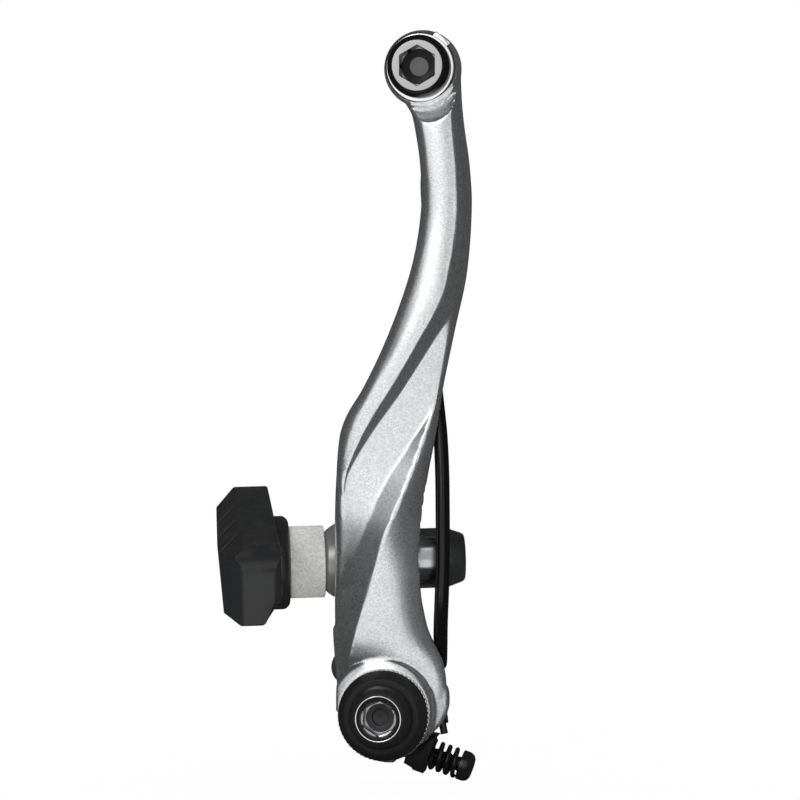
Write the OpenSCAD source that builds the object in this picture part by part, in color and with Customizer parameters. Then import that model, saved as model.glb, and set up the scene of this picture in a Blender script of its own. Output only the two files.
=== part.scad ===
// Linear-pull brake arm with its pivot, return spring, tension screw and brake shoe.
// Origin on the pivot axis at the frame-side face of the bushing.
// +X points away from the rim, +Y along the pivot towards the frame, +Z up the arm.

/* [Pivot] */
// Bore of the bushing, which slides on the frame's boss
boss_bore_d = 8; // [7:0.1:8.4]
// Outside of the bushing, on which the arm turns
bushing_d = 10; // [9.6:0.1:10.4]
// Length of the bushing
bushing_len = 17.4; // [17:0.1:19]
// Diameter of the steel washer under the cap
front_washer_d = 15.6; // [14:0.1:17]
// Thickness of the steel washer
front_washer_t = 0.8; // [0.5:0.1:1.5]
// Rim diameter of the black cap
cap_d = 15; // [13:0.1:16]
// Height of the black cap
cap_t = 2.4; // [1.8:0.1:3.5]
// Thread of the pivot bolt
pivot_bolt_d = 6; // [5:0.5:6.5]
// Length of the pivot bolt under its head
pivot_bolt_len = 17.8; // [14:0.1:22]
// Head diameter of the pivot bolt
pivot_head_d = 10.5; // [9:0.1:12]
// Head height of the pivot bolt
pivot_head_h = 3.3; // [2.6:0.1:4.5]
// Hex socket of the pivot bolt, across flats
pivot_hex = 5; // [4:0.5:5.5]
// End float of the arm between the washer and the spring
end_float = 0.3; // [0.2:0.05:0.6]
// Radial clearance of the turning fits
run_gap = 0.05; // [0.02:0.01:0.1]

/* [Arm] */
// Height of the cable bolt above the pivot
arm_len = 107; // [95:0.5:120]
// Sideways offset of the cable bolt
eye_x = 6.2; // [5.4:0.1:7]
// Diameter of the eye
eye_d = 12.8; // [12:0.1:14]
// Thickness of the eye
eye_t = 8.5; // [7:0.1:10]
// Front face of the eye
eye_front = -17; // [-17.6:0.1:-16]
// Radius of the barrel at its front
barrel_r = 7.75; // [7.4:0.05:8.2]
// Wall of the arm's open back on the left
wall_left = 2.2; // [1.6:0.1:2.6]
// Step between the blade and the panel at its widest
strip_step = 1.7; // [0.8:0.1:2]

/* [Shoe slot] */
// Height of the slot's middle
slot_z = 24.95; // [24:0.05:27]
// Travel of the shoe each way
slot_travel = 4; // [2:0.1:5]
// Width of the slot
slot_w = 7.8; // [7:0.1:8.2]
// Depth of the slot's middle behind the pivot's frame face
slot_y = -8.5; // [-9:0.1:-8]
// Left face of the web that the slot goes through
web_left = -8.3; // [-8.4:0.05:-8.1]
// Thickness of the web
web_t = 5.1; // [4.6:0.1:5.3]

/* [Shoe hardware] */
// Stud thread of the shoe
stud_d = 6; // [5:0.5:6.5]
// Radius of the ball faces of the washers
ball_r = 7; // [6.9:0.05:7.4]
// Depth of the ball faces' common centre inside the web
ball_in = 2; // [1.8:0.05:2.4]
// Diameter of the dome washers
dome_d = 12.3; // [11.8:0.1:12.5]
// Bore of the dome washers
dome_bore_d = 9; // [8.8:0.1:9.2]
// Diameter of the cup washers
cup_d = 12.1; // [11.4:0.1:12.3]
// Thickness of the thick cup washer, on the rim side
thick_cup_t = 5.9; // [4.5:0.1:7]
// Thickness of the thin cup washer, on the nut side
thin_cup_t = 3; // [2.6:0.1:4]
// Thickness of the flat washer under the nut
flat_washer_t = 1; // [0.6:0.1:1.6]
// Diameter of the shoe nut
nut_d = 10.1; // [9.4:0.1:10.6]
// Length of the shoe nut
nut_len = 9.5; // [7:0.1:11]
// Hex socket of the shoe nut, across flats
nut_hex = 5; // [4:0.5:5.5]
// Toe-in of the shoe as it is set
toe_in = 12; // [0:0.5:13]
// Lean of the shoe's stud as it is set
stud_lean = -1.5; // [-4:0.5:4]
// Pitch of the shoe about its stud as it is set
shoe_pitch = 5.7; // [-10:0.1:10]

/* [Brake shoe] */
// Length of the rubber
pad_len = 70; // [50:1:75]
// Height of the rubber
pad_h = 12.2; // [11:0.1:14]
// Thickness of the rubber
pad_t = 9.3; // [8:0.1:12]
// Height of the rubber's middle above the stud
pad_rise = 2; // [0:0.1:2.5]
// Chamfer along the upper edge of the braking face
pad_chamfer = 3.3; // [2:0.1:4]
// Diameter of the round boss on the back
pad_boss_d = 15.7; // [14:0.1:17]
// Height of the round boss
pad_boss_h = 2.3; // [0.8:0.1:3]
// Number of water grooves
groove_n = 3; // [1:1:5]
// Spacing of the water grooves
groove_pitch = 15; // [12:1:20]
// Width of a water groove
groove_w = 2.2; // [1:0.1:3]
// Depth of a water groove
groove_depth = 2; // [1:0.1:3]

/* [Return spring] */
// Wire of the return spring
wire_d = 1.25; // [1:0.05:1.5]
// Mean radius of the coil
coil_r = 6.6; // [6.3:0.05:6.8]
// Pitch of the coil
coil_pitch = 1.32; // [1.3:0.02:1.5]
// Outside diameter of the sleeve on the long leg
sleeve_d = 2.4; // [2:0.05:2.5]
// Depth of the coil's front turn
coil_front = -10; // [-10.4:0.1:-9.8]

/* [Tension screw] */
// Thread of the tension screw
screw_d = 2.5; // [2:0.1:2.8]
// Diameter of the screw's head
screw_head_d = 5.1; // [4.4:0.1:5.8]
// Height of the screw's head
screw_head_h = 2.3; // [1.8:0.1:3]
// Outside diameter of the small spring on the screw
lock_spring_d = 5.2; // [4.6:0.1:5.4]
// Wire of the small spring
lock_wire_d = 0.8; // [0.5:0.05:0.9]
// Free length of the screw between its head and the block
screw_free = 5.25; // [4:0.05:7]
// Depth of the screw's axis
screw_y = -3.1; // [-3.2:0.05:-3]
// Distance of the screw's axis from the pivot axis
screw_off = 5.7; // [5.6:0.05:5.9]
// Slope of the screw below level
screw_slope = 19; // [17:0.5:21]

/* [Stopper] */
// Thickness of the stopper plate
plate_t = 1.2; // [1:0.1:1.4]
// Distance of the stopper pin from the pivot
stopper_r = 10.3; // [9.8:0.05:10.6]
// Angle of the stopper pin above level
stopper_angle = 37; // [30:1:45]
// Diameter of the stopper pin
stopper_d = 2.6; // [2:0.1:3]
// Reach of the stopper pin behind the plate
stopper_len = 3.2; // [2:0.1:5]

/* [Cable anchor] */
// Diameter of the cable bolt's head
anchor_head_d = 10.3; // [9:0.1:11]
// Height of the cable bolt's head
anchor_head_h = 3.7; // [2.5:0.1:4.5]
// Thread of the cable bolt
anchor_d = 6; // [5:0.5:6.5]
// Length of the cable bolt under its head
anchor_len = 11.5; // [10:0.1:14]
// Hex socket of the cable bolt, across flats
anchor_hex = 5.8; // [5:0.1:6]
// Thickness of the cable washer
cable_washer_t = 1.6; // [1:0.1:2]
// Diameter of the cable washer
cable_washer_d = 11.6; // [11:0.1:12.6]

/* [Hidden] */
$fn = 64;
// Small overrun of every cut past the face it leaves
over = 0.5;

// Stack along the pivot, from the frame outwards
washer_y = -bushing_len;
cap_y = washer_y - front_washer_t;
head_y = cap_y - cap_t;
barrel_front = washer_y + end_float;
bushing_r = bushing_d / 2;
shoulder_r = pivot_bolt_d / 2 + 0.6;
shoulder_gap = 0.1;
coil_back = coil_front + 2.95 * coil_pitch;
coil_out_r = coil_r + wire_d / 2;
// Room for the coil behind the bearing, and its rear edge
room_front = coil_front - wire_d / 2 - 0.2;
room_r = coil_out_r + 0.5;
room_back = coil_back + 0.2;
// Holder of the short leg, a disc behind the coil
holder_front = coil_back + wire_d / 2 + 0.1;
holder_disc_t = 0.9;
holder_r = room_r - 0.1;
holder_back = -plate_t - 0.2;

// Heights up the blade are given for this length of arm and stretch with it above the slot
drawn_len = 107;
stretch_from = 40;
function up(z) = z < stretch_from ? z
    : stretch_from + (z - stretch_from) * (arm_len - stretch_from) / (drawn_len - stretch_from);

eye_z = arm_len - 0.2;
eye_back = eye_front + eye_t;
// Inner face of the web, at the bottom of the pocket for the nut's washers
pocket_right = web_left + web_t;

// Edges and creases of the arm as [height, x, y] from the pivot up to the eye.
// Left silhouette, where the left wall turns into the front
left_edge = [[1, -8.6, -11.5], [7, -9.1, -11.5], [12, -9.2, -11.8], [18, -9.1, -12.8], [24, -8.9, -13.8], [32, -8.6, -14.6],
    [39, -8.3, -15], [46, -7.7, -15.2], [49.5, -6.5, -15.2], [54, -3.8, -15], [61, -0.4, -14.8],
    [69, 2.7, -14.5], [76, 4.7, -14.2], [84, 5.8, -13.8], [91, 5.6, -13.4], [97, 4.7, -13],
    [99.5, 4.1, -13], [101.5, 3, -13], [106, 2.4, -13]];
// Left crest of the upper blade, which dies out at the left edge
left_crest = [[1, -7.8, -12.1], [7, -8.1, -12.2], [18, -8.2, -13.5], [30, -7.7, -15.4], [42, -6.9, -16.9], [48, -4.8, -17.8],
    [53, -2.2, -18.1], [60.5, 1.4, -18.1], [69, 4.5, -17.9], [76, 6.5, -17.7], [83, 7.6, -17.5],
    [91, 7.2, -17.6], [97, 6.5, -17.7], [106, 4.4, -17.7]];
// Right crest of the upper blade, the upper edge of the dark strip
strip_top = [[1, -7.5, -12.5], [7, -7.8, -12.6], [18, -7.9, -13.9], [30, -7.3, -15.8], [40, -6.4, -16.9], [47, -3.2, -17.8],
    [56, 2.6, -18.2], [61, 5.5, -18.3], [68.5, 9.6, -18.2], [75, 11.3, -17.8], [82, 12.2, -17.4],
    [90, 12.1, -17.5], [97, 11.5, -17.6], [106, 10.8, -17.6]];
// Foot of the strip, the upper edge of the panel
strip_foot = [[1, -7.2, -12.8], [7, -7.5, -12.9], [18, -7.6, -14.2], [30, -7, -16], [39.8, -6, -16.9], [45.6, -2.7, -17.2],
    [53.7, 2.9, -16.9], [62.5, 8.5, -16.6], [67.2, 11.4, -16.4], [75, 12.2, -16.8], [82, 12.9, -16.7],
    [90, 12.7, -16.9], [97, 12, -17], [106, 11.3, -17]];
// Crease under the panel
panel_crease = [[1, -6.9, -13], [7, -7.2, -13.2], [18, -7.3, -14.6], [21.4, -7.1, -15], [28.4, -4.3, -16.1],
    [38.5, 0.1, -16.9], [45.3, 4.4, -17], [51.4, 8.1, -16.5], [60, 9.9, -15.9], [67, 11.6, -15.6],
    [75, 12.7, -15.9], [82, 13.4, -15.8], [90, 13.15, -15.9], [97, 12.4, -16], [106, 11.8, -16]];
// Ridge between the twisted facet and the lower front
ridge = [[1, -6.2, -13.2], [7, -6, -13.4], [10.2, -5.6, -14.4], [14.9, -4.3, -16.4], [22.3, -2, -17.9], [29.3, 0.1, -18.3],
    [37, 3.4, -18], [45.9, 6.5, -17.1], [52, 8.6, -15.9], [60, 10.1, -15.2], [67, 11.8, -15],
    [75, 13, -15.1], [82, 13.7, -15], [90, 13.4, -15], [97, 12.7, -15], [106, 12.1, -15]];
// Right crest, where the front rounds over to the right wall
right_crest = [[1, 4.6, -14], [7, 4.2, -14.4], [10.2, 3.6, -14.9], [14.9, 2.9, -16.5], [22.3, 2.7, -17.8], [29.3, 3.2, -18],
    [37, 4.8, -17.6], [45.9, 7, -16.8], [52, 8.7, -15.4], [60, 10.25, -14.8], [67, 11.85, -14.6],
    [75, 13.1, -14.6], [82, 13.8, -14.5], [90, 13.5, -14.5], [97, 12.8, -14.5], [106, 12.2, -14.5]];
// Right silhouette
right_edge = [[1, 7, -13], [7, 8.4, -13.3], [11.6, 7.9, -13.6], [15, 7, -13.9], [20, 6, -14.4], [27, 5.6, -14.9],
    [32, 6, -15.1], [39, 7, -15], [47.5, 8.6, -14.8], [54, 9.5, -14.2], [63.5, 11.4, -13.8],
    [73, 13.4, -13.6], [84, 14.2, -13.4], [91, 13.8, -13.2], [97, 12.95, -13], [101, 12.5, -13], [106, 12.3, -13]];
// Back of the left and right walls and of the front wall inside, as [height, left, right, inside]
backs = [[1, -6.2, -12.4, -12.1], [7, -6, -12.5, -12.2], [11, -4, -13.1, -12.6], [14.5, -2.2, -13.4, -13.2],
    [20, -2, -14.2, -14.5], [38, -2, -14.4, -14.6], [48, -2.6, -14, -14.3], [53, -3, -13.6, -14],
    [56, -3.4, -13.4, -13.8], [61, -3.9, -9.5, -13.4],
    [66, -4.6, -6.5, -13], [76, -5.6, -6.2, -12.2], [86, -7, -7.2, -11.2], [94, -8.2, -8.6, -9.8],
    [98, -8.6, -9.9, -9.8], [106, -8.6, -11, -10.9]];
// Wall of the right side, thick at the place where the spring bears, as [height, thickness]
right_wall = [[1, 2, 0], [46, 1.6, 0], [53, 1.2, 0], [58, 1.2, 0], [61, 1.9, 0], [65, 3, 0], [70, 2.2, 0],
    [106, 2, 0]];
// How far the rear edge of the left wall leans out, with a short rib near the top
left_lean = [[1, 0, 0], [60, 0.2, 0], [80, 0.6, 0], [84, -0.9, 0], [90, -0.8, 0], [93, 0.8, 0], [106, 0.8, 0]];

// Smooth curve through rows that start with their height
function row(p, z, i = 0) = i >= len(p) - 2 || z <= p[i + 1][0] ? i : row(p, z, i + 1);
function slope(p, i) = let (a = p[max(i - 1, 0)], b = p[min(i + 1, len(p) - 1)]) (b - a) / (b[0] - a[0]);
function at(p, z) = let (i = row(p, z), h = p[i + 1][0] - p[i][0], t = (z - p[i][0]) / h)
    (1 + 2 * t) * (1 - t) * (1 - t) * p[i] + t * (1 - t) * (1 - t) * h * slope(p, i)
    + t * t * (3 - 2 * t) * p[i + 1] - t * t * (1 - t) * h * slope(p, i + 1);
// Points of a round from a to b that keeps to the corner c
function round_over(a, c, b, n) = [for (k = [1:n - 1]) let (t = k / n)
    (1 - t) * (1 - t) * a + 2 * t * (1 - t) * c + t * t * b];
function flat(v, shift = 0) = [v[1], v[2] + shift];
// How far the lower front moves with the bearing's length, from its length as drawn
drawn_front = -17.1;
function front_shift(z) = (barrel_front - drawn_front) * max(0, 1 - z / 30);

// One level section of the arm, from the back of the left wall round the front to the right and inside
function arm_section(z) = let (
        s = front_shift(z), l = flat(at(left_edge, z), s), lc = flat(at(left_crest, z), s),
        st = flat(at(strip_top, z), s), sf = flat(at(strip_foot, z), s), pc = flat(at(panel_crease, z), s),
        rd = flat(at(ridge, z), s), rc = flat(at(right_crest, z), s), r = flat(at(right_edge, z), s),
        b = at(backs, z) + [0, 0, s, s],
        step = strip_step / 1.7, foot = [sf[0], st[1] + (sf[1] - st[1]) * step],
        left_in = z < 44 ? pocket_right + 0.4 : l[0] + wall_left
            + (z < 56 ? (pocket_right + 8.1 - wall_left) * (56 - z) / 12 : 0),
        draft = 0.16, r_back = r[0] - draft * (b[2] - r[1]), r_in = r[0] - at(right_wall, z)[1])
    concat([[l[0] + at(left_lean, z)[1], b[1]], l], round_over(l, [l[0] + 0.2, lc[1]], lc, 4),
        [lc, st, foot, pc, rd, rc], round_over(rc, [r[0] - 0.1, rc[1] + 0.3], r, 4),
        [r, [r_back, b[2]], [min(r_in, r_back - 0.8), b[2]], [r_in, b[3]], [left_in, b[3]], [left_in, b[1]]]);

// Closed skin over rings of points that all have the same count, its ends fanned from point hub
module skin(rings, hub = 0) {
    n = len(rings[0]);
    m = len(rings);
    faces = concat([[for (k = [0:n - 1]) (k + hub) % n]],
        [for (i = [0:m - 2]) for (k = [0:n - 1]) let (a = i * n + k, b = i * n + (k + 1) % n) [a, a + n, b]],
        [for (i = [0:m - 2]) for (k = [0:n - 1]) let (a = i * n + k, b = i * n + (k + 1) % n) [b, a + n, b + n]],
        [[for (k = [n:-1:1]) (m - 1) * n + (k + hub) % n]]);
    polyhedron(points = [for (ring = rings) for (p = ring) p], faces = faces, convexity = 8);
}

// Round tube along a path, with rings that don't twist
function unit(v) = v / norm(v);
function heading(p, i) = unit(p[min(i + 1, len(p) - 1)] - p[max(i - 1, 0)]);
function square_to(v, t) = unit(v - (v * t) * t);
module tube(path, r, sides) {
    side = [for (i = 0, s = square_to([0, 1, 0.013], heading(path, 0)); i < len(path);
        i = i + 1, s = i < len(path) ? square_to(s, heading(path, i)) : s) s];
    skin([for (i = [0:len(path) - 1]) let (t = heading(path, i), u = side[i], w = cross(t, u))
        [for (k = [0:sides - 1]) path[i] + r * (cos(360 * k / sides) * u - sin(360 * k / sides) * w)]]);
}

// Hollow round tube along a path
module pipe(path, r, bore_r, sides) {
    m = len(path);
    side = [for (i = 0, s = square_to([0, 1, 0.013], heading(path, 0)); i < m;
        i = i + 1, s = i < m ? square_to(s, heading(path, i)) : s) s];
    rings = [for (i = [0:m - 1]) let (t = heading(path, i), u = side[i], w = cross(t, u))
        [for (q = [r, bore_r]) for (k = [0:sides - 1])
            path[i] + q * (cos(360 * k / sides) * u - sin(360 * k / sides) * w)]];
    n = 2 * sides;
    wall = [for (i = [0:m - 2]) for (k = [0:sides - 1]) let (a = i * n + k, b = i * n + (k + 1) % sides)
        each [[a, a + n, b], [b, a + n, b + n], [b + sides, a + n + sides, a + sides],
            [b + n + sides, a + n + sides, b + sides]]];
    ends = [for (k = [0:sides - 1]) let (j = (k + 1) % sides, e = (m - 1) * n)
        each [[k, j, j + sides], [k, j + sides, k + sides], [e + j, e + k, e + k + sides],
            [e + j, e + k + sides, e + j + sides]]];
    polyhedron(points = [for (ring = rings) for (p = ring) p], faces = concat(wall, ends), convexity = 8);
}

// Cylinder along the pivot from y0 back to y1, and along the stud from x0 to x1
module along_y(y0, y1, r, x = 0, z = 0) {
    translate([x, y0, z]) rotate([-90, 0, 0]) cylinder(h = y1 - y0, r = r);
}
module along_x(x0, x1, r) {
    translate([x0, 0, 0]) rotate([0, 90, 0]) cylinder(h = x1 - x0, r = r);
}
// Plate drawn in the front view, from y0 back to y1
module plate(y0, y1) {
    translate([0, y1, 0]) rotate([90, 0, 0]) linear_extrude(y1 - y0) children();
}
// Ring turned about the pivot from a profile of [radius, depth]
module turned(profile, x = 0, z = 0) {
    translate([x, 0, z]) rotate([-90, 0, 0]) rotate_extrude() polygon(profile);
}
// Turned piece on the stud from a profile of [radius, distance along the stud]
module turned_x(profile) {
    rotate([0, 90, 0]) rotate_extrude() polygon(profile);
}
// Hex socket opening to the front, across flats w
module hex_y(w, y0, y1, turn, x = 0, z = 0) {
    translate([x, y0, z]) rotate([-90, 0, 0]) rotate([0, 0, turn]) cylinder(h = y1 - y0, r = w / sqrt(3), $fn = 6);
}

module pivot_bushing() {
    color("silver")
    turned([[boss_bore_d / 2 + 0.3, -bushing_len], [bushing_r - 0.2, -bushing_len], [bushing_r, -bushing_len + 0.2],
        [bushing_r, -0.2], [bushing_r - 0.2, 0], [boss_bore_d / 2 + 0.3, 0], [boss_bore_d / 2, -0.3],
        [boss_bore_d / 2, -bushing_len + 0.3]]);
}

module pivot_bolt() {
    color("dimgray")
    difference() {
        union() {
            turned([[0, head_y - pivot_head_h], [pivot_head_d * 0.34, head_y - pivot_head_h],
                [pivot_head_d * 0.4, head_y - pivot_head_h + 0.35], [pivot_head_d * 0.46, head_y - pivot_head_h + 1.1],
                [pivot_head_d / 2, head_y - 1.1], [pivot_head_d / 2, head_y], [0, head_y]]);
            // Plain shoulder through the cap and washer, then the threaded end
            turned([[0, head_y - 0.1], [shoulder_r, head_y - 0.1], [shoulder_r, washer_y + 0.2],
                [pivot_bolt_d / 2, washer_y + 0.3], [pivot_bolt_d / 2, head_y + pivot_bolt_len - 0.5],
                [pivot_bolt_d / 2 - 0.5, head_y + pivot_bolt_len], [0, head_y + pivot_bolt_len]]);
        }
        hex_y(pivot_hex, head_y - pivot_head_h - over, head_y - 0.9, 30 + 4);
        along_y(head_y - 1, head_y - 0.4, 1.35);
    }
}

module front_washer() {
    color("gainsboro")
    difference() {
        along_y(cap_y, washer_y, front_washer_d / 2);
        along_y(cap_y - over, washer_y + over, shoulder_r + shoulder_gap);
    }
}

module pivot_cap() {
    color("#222222")
    turned([[shoulder_r + shoulder_gap, head_y], [cap_d / 2 - 1.5, head_y], [cap_d / 2 - 1.05, head_y + 0.2],
        [cap_d / 2 - 0.25, cap_y - 0.9], [cap_d / 2, cap_y - 0.4], [cap_d / 2, cap_y],
        [shoulder_r + shoulder_gap, cap_y]]);
}

// Place of the stopper pin, up to the left of the pivot
stopper_x = -stopper_r * cos(stopper_angle);
stopper_z = stopper_r * sin(stopper_angle);
stopper_lug_r = 3.2;
// The screw's axis starts at the foot nearest the pivot and runs out to the right and down
foot_x = -screw_off * sin(screw_slope);
foot_z = -screw_off * cos(screw_slope);
block_at = 8.3;
block_len = 3.7;
tip_at = 3.7;
tab_gap = 0.06;
tab_t = 1.2;
module on_screw(t = 0) {
    translate([foot_x, screw_y, foot_z]) rotate([0, screw_slope, 0]) translate([t, 0, 0]) children();
}

module stopper_plate() {
    color("#2b2b2b")
    difference() {
        union() {
            along_y(-plate_t, 0, holder_r);
            hull() {
                along_y(-plate_t, 0, stopper_lug_r, stopper_x, stopper_z);
                along_y(-plate_t, 0, stopper_lug_r + 1, stopper_x / 2, stopper_z / 2);
            }
            plate(-plate_t, 0) polygon([[0, -4], [1.1, -9], [3, -10.1], [4.7, -11.2], [6.9, -6.2], [5, -2]]);
        }
        along_y(-plate_t - over, over, bushing_r + run_gap);
        along_y(-plate_t - over, over, stopper_d / 2 + 0.2, stopper_x, stopper_z);
    }
}

module stopper_pin() {
    color("gray")
    turned([[0, -plate_t - 0.3], [stopper_d / 2 - 0.1, -plate_t - 0.3], [stopper_d / 2 + 0.2, -plate_t],
        [stopper_d / 2 + 0.2, 0], [stopper_d / 2, 0], [stopper_d / 2, stopper_len - 0.3],
        [stopper_d / 2 - 0.3, stopper_len], [0, stopper_len]], stopper_x, stopper_z);
}

module screw_block() {
    color("#1c1c1c")
    difference() {
        union() {
            intersection() {
                on_screw(block_at - block_len) translate([0, -2.4, -3.3]) cube([block_len, 5, 6.3]);
                plate(-5.3, -plate_t) polygon([[0, -2], [0.8, -9], [2.9, -10.2], [3.4, -10.9], [4.8, -11.6],
                    [8, -10], [8, -2]]);
            }
            plate(-4.4, -plate_t) polygon([[5.2, -5.4], [6.2, -4.6], [7.5, -4.8], [6.7, -5.6], [5.7, -8.6]]);
        }
        along_y(-6, holder_front + holder_disc_t + 0.3, holder_r + 0.4);
        along_y(-6, over, bushing_r + 2.5);
        on_screw(-over) along_x(0, block_at + 2, screw_d / 2 + run_gap);
    }
}

// Disc with the tab that the screw's tip pushes and the ear that holds the short leg
module spring_holder() {
    color("#1c1c1c")
    difference() {
        union() {
            along_y(holder_front, holder_front + holder_disc_t, holder_r);
            difference() {
                along_y(holder_front + 0.1, holder_back, bushing_r + 1.9);
                plate(holder_front + holder_disc_t, over) polygon([[-4.5, -5.2], [-4.5, -12], [12, -12], [12, 1], [4, 1], [0, -3]]);
            }
            on_screw(tip_at - tab_gap - tab_t) translate([0, holder_front + 0.2 - screw_y, -1.7])
                cube([tab_t, holder_back - holder_front - 0.2, 2.2]);
            plate(coil_back - 0.3, holder_front + holder_disc_t) polygon([[6.8, -0.2], [8.9, -0.2], [9.2, -2.5], [6.8, -3]]);
        }
        along_y(holder_front - 2, over, bushing_r + run_gap);
        // Groove for the short leg, open to the front
        translate([short_leg[1][0], coil_back, short_leg[1][2]]) rotate([0, -short_leg_lean, 0])
            translate([-wire_d / 2 - 0.05, -4, -4]) cube([wire_d + 0.1, 4.1 + wire_d / 2, 8]);
    }
}

// Coil from its front turn to its rear turn, clockwise from the front
coil_turns = 2.95;
coil_steps = 66;
coil_path = [for (i = [0:coil_steps]) let (s = i / coil_steps, a = -360 * coil_turns * s)
    [coil_r * cos(a), coil_front + coil_turns * coil_pitch * s, coil_r * sin(a)]];
// Long leg from the coil up to its seat inside the arm, and the short leg down to the holder
long_leg = [[7.4, -11.9, 61.5], [7.4, -11.9, 59], [7.8, -12, 55], [8.3, -12.3, 51], [8.9, -13, 46],
    [9.3, -13.9, 40], [9.5, -14.8, 33], [9.55, -15, 26], [9.35, -14.7, 20], [9, -13.4, 15], [8.75, -11.8, 11],
    [8.45, -10.5, 7.5], [7.7, -10.05, 4], [6.85, -10, 1.2]];
short_leg_lean = 12;
short_leg = [[7.35, coil_back, 0.6], for (k = [0:2]) [8.1 + (1.1 + 1.5 * k) * sin(short_leg_lean) - 0.25,
    coil_back, -1.2 - 1.55 * k]];
function leg_up(p) = [p[0], p[1], up(p[2])];
// Smooth path through points, with n steps between neighbours
function smooth(p, n) = concat([for (i = [0:len(p) - 2]) for (k = [0:n - 1]) let (t = k / n,
    a = p[max(i - 1, 0)], b = p[i], c = p[i + 1], d = p[min(i + 2, len(p) - 1)])
    0.5 * (2 * b + (c - a) * t + (2 * a - 5 * b + 4 * c - d) * t * t + (3 * b - a - 3 * c + d) * t * t * t)],
    [p[len(p) - 1]]);
long_path = smooth([for (p = long_leg) leg_up(p)], 2);

module return_spring() {
    color("#3a3a3c")
    tube(concat(long_path, coil_path, short_leg), wire_d / 2, 8);
}

// Sleeve on the long leg, from just under its end to behind the lobe
sleeve_path = [for (i = [1:22]) long_path[i]];
module spring_sleeve() {
    color("#111111")
    pipe(sleeve_path, sleeve_d / 2, wire_d / 2 + 0.04, 10);
}

// Small spring between the block and the screw's head
lock_r = (lock_spring_d - lock_wire_d) / 2;
lock_turns = 3.25;
lock_steps = 52;
module screw_spring() {
    color("#2a2a2a")
    on_screw(block_at + 0.06 + lock_wire_d / 2)
    tube([for (i = [0:lock_steps]) let (s = i / lock_steps, a = 360 * lock_turns * s)
        [(screw_free - lock_wire_d - 0.12) * s, lock_r * cos(a), lock_r * sin(a)]], lock_wire_d / 2, 8);
}

module tension_screw() {
    color("#333333")
    on_screw()
    difference() {
        union() {
            turned_x([[0, tip_at], [screw_d / 2 - 0.7, tip_at], [screw_d / 2, tip_at + 0.6],
                [screw_d / 2, block_at + screw_free + 0.3], [0, block_at + screw_free + 0.3]]);
            translate([block_at + screw_free, 0, 0])
                turned_x([[0, 0], [screw_head_d / 2, 0], [screw_head_d / 2, screw_head_h - 0.9],
                    [screw_head_d / 2 - 0.25, screw_head_h - 0.35], [screw_head_d / 2 - 0.8, screw_head_h], [0, screw_head_h]]);
        }
        translate([block_at + screw_free + screw_head_h - 1, -screw_head_d / 2 - over, -0.4])
            cube([2, screw_head_d + 2 * over, 0.8]);
        translate([block_at + screw_free + screw_head_h - 1, -0.4, -screw_head_d / 2 - over])
            cube([2, 0.8, screw_head_d + 2 * over]);
    }
}

slot_half = slot_travel + (slot_w - stud_d) / 4;
// Half height of the machined flats, a little more than the domes sweep
flat_half = slot_travel + dome_d / 2 + 0.35;
seat_r = eye_d / 2;
arm_levels = [for (z = [1:3:106]) z];
// The section's point that sees all the others, at the left inside
inside_corner = len(arm_section(1)) - 2;
module brake_arm() {
    color("#c9ccd0")
    difference() {
        union() {
            skin([for (z = arm_levels) [for (p = arm_section(z)) [p[0], p[1], up(z)]]], inside_corner);
            // Barrel on the bushing, coned at its upper front
            turned([[0, barrel_front], [barrel_r, barrel_front], [barrel_r, barrel_front + 0.8],
                [barrel_r - 0.5, room_front + 0.4], [barrel_r - 0.5, room_front + 0.5], [0, room_front + 0.5]]);
            intersection() {
                turned([[0, barrel_front], [barrel_r, barrel_front], [barrel_r + 1.65, barrel_front + 2.2],
                    [barrel_r + 1.65, barrel_front + 4.2], [0, barrel_front + 4.2]]);
                plate(-20, 0) polygon([[-8.1, 0.5], [-8.1, 12.3], [9, 12.3], [9.2, -1.2], [7.2, -4.6], [0, -6.1]]);
            }
            // Round shroud over the coil on the left and below
            intersection() {
                along_y(room_front - 0.5, room_back, room_r + 1);
                plate(-20, 0) polygon([[1, -12], [-12, -12], [-12, 12], [5.5, 12], [5, 7], [1, 1]]);
            }
            // Lobe in front of the leg
            plate(barrel_front + 1.2, room_front - 1.1) lobe();
            // Eye for the cable bolt
            turned([[0, eye_front], [eye_d / 2 - 0.4, eye_front], [eye_d / 2, eye_front + 0.4],
                [eye_d / 2, eye_front + 2.6], [eye_d / 2 - 0.5, eye_back - 2], [eye_d / 2 - 1.2, eye_back - 0.5],
                [eye_d / 2 - 1.8, eye_back], [0, eye_back]], eye_x, eye_z);
        }
        along_y(-30, 5, bushing_r + run_gap);
        along_y(room_front, 5, room_r);
        along_y(-30, 5, anchor_d / 2 + 0.05, eye_x, eye_z);
        // Seat of the cable washer, which runs out as a cone over the blade
        turned([[0, -30], [seat_r + 3.3, -30], [seat_r + 3.3, eye_front - 1.2], [seat_r, eye_front + 0.9],
            [seat_r, eye_front], [0, eye_front]], eye_x, eye_z);
        // Flat faces and slot for the shoe
        translate([-14, slot_y - 6.6, slot_z - flat_half]) cube([14 + web_left, 14, 2 * flat_half]);
        translate([pocket_right, slot_y - 6.6, slot_z - flat_half - 1]) cube([16, 16, 2 * flat_half + 3.4]);
        translate([-14, slot_y, slot_z]) rotate([90, 0, 90]) linear_extrude(20) {
            for (s = [-1, 1]) translate([0, s * slot_half]) circle(d = slot_w);
            square([slot_w, 2 * slot_half], center = true);
        }
    }
}
module lobe() {
    intersection() {
        translate([3.3, 2.3]) circle(r = 7.1);
        polygon([[0, -3], [6.4, -5.2], [12, -5.2], [12, 12], [6, 12], [2, 8]]);
    }
}

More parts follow.
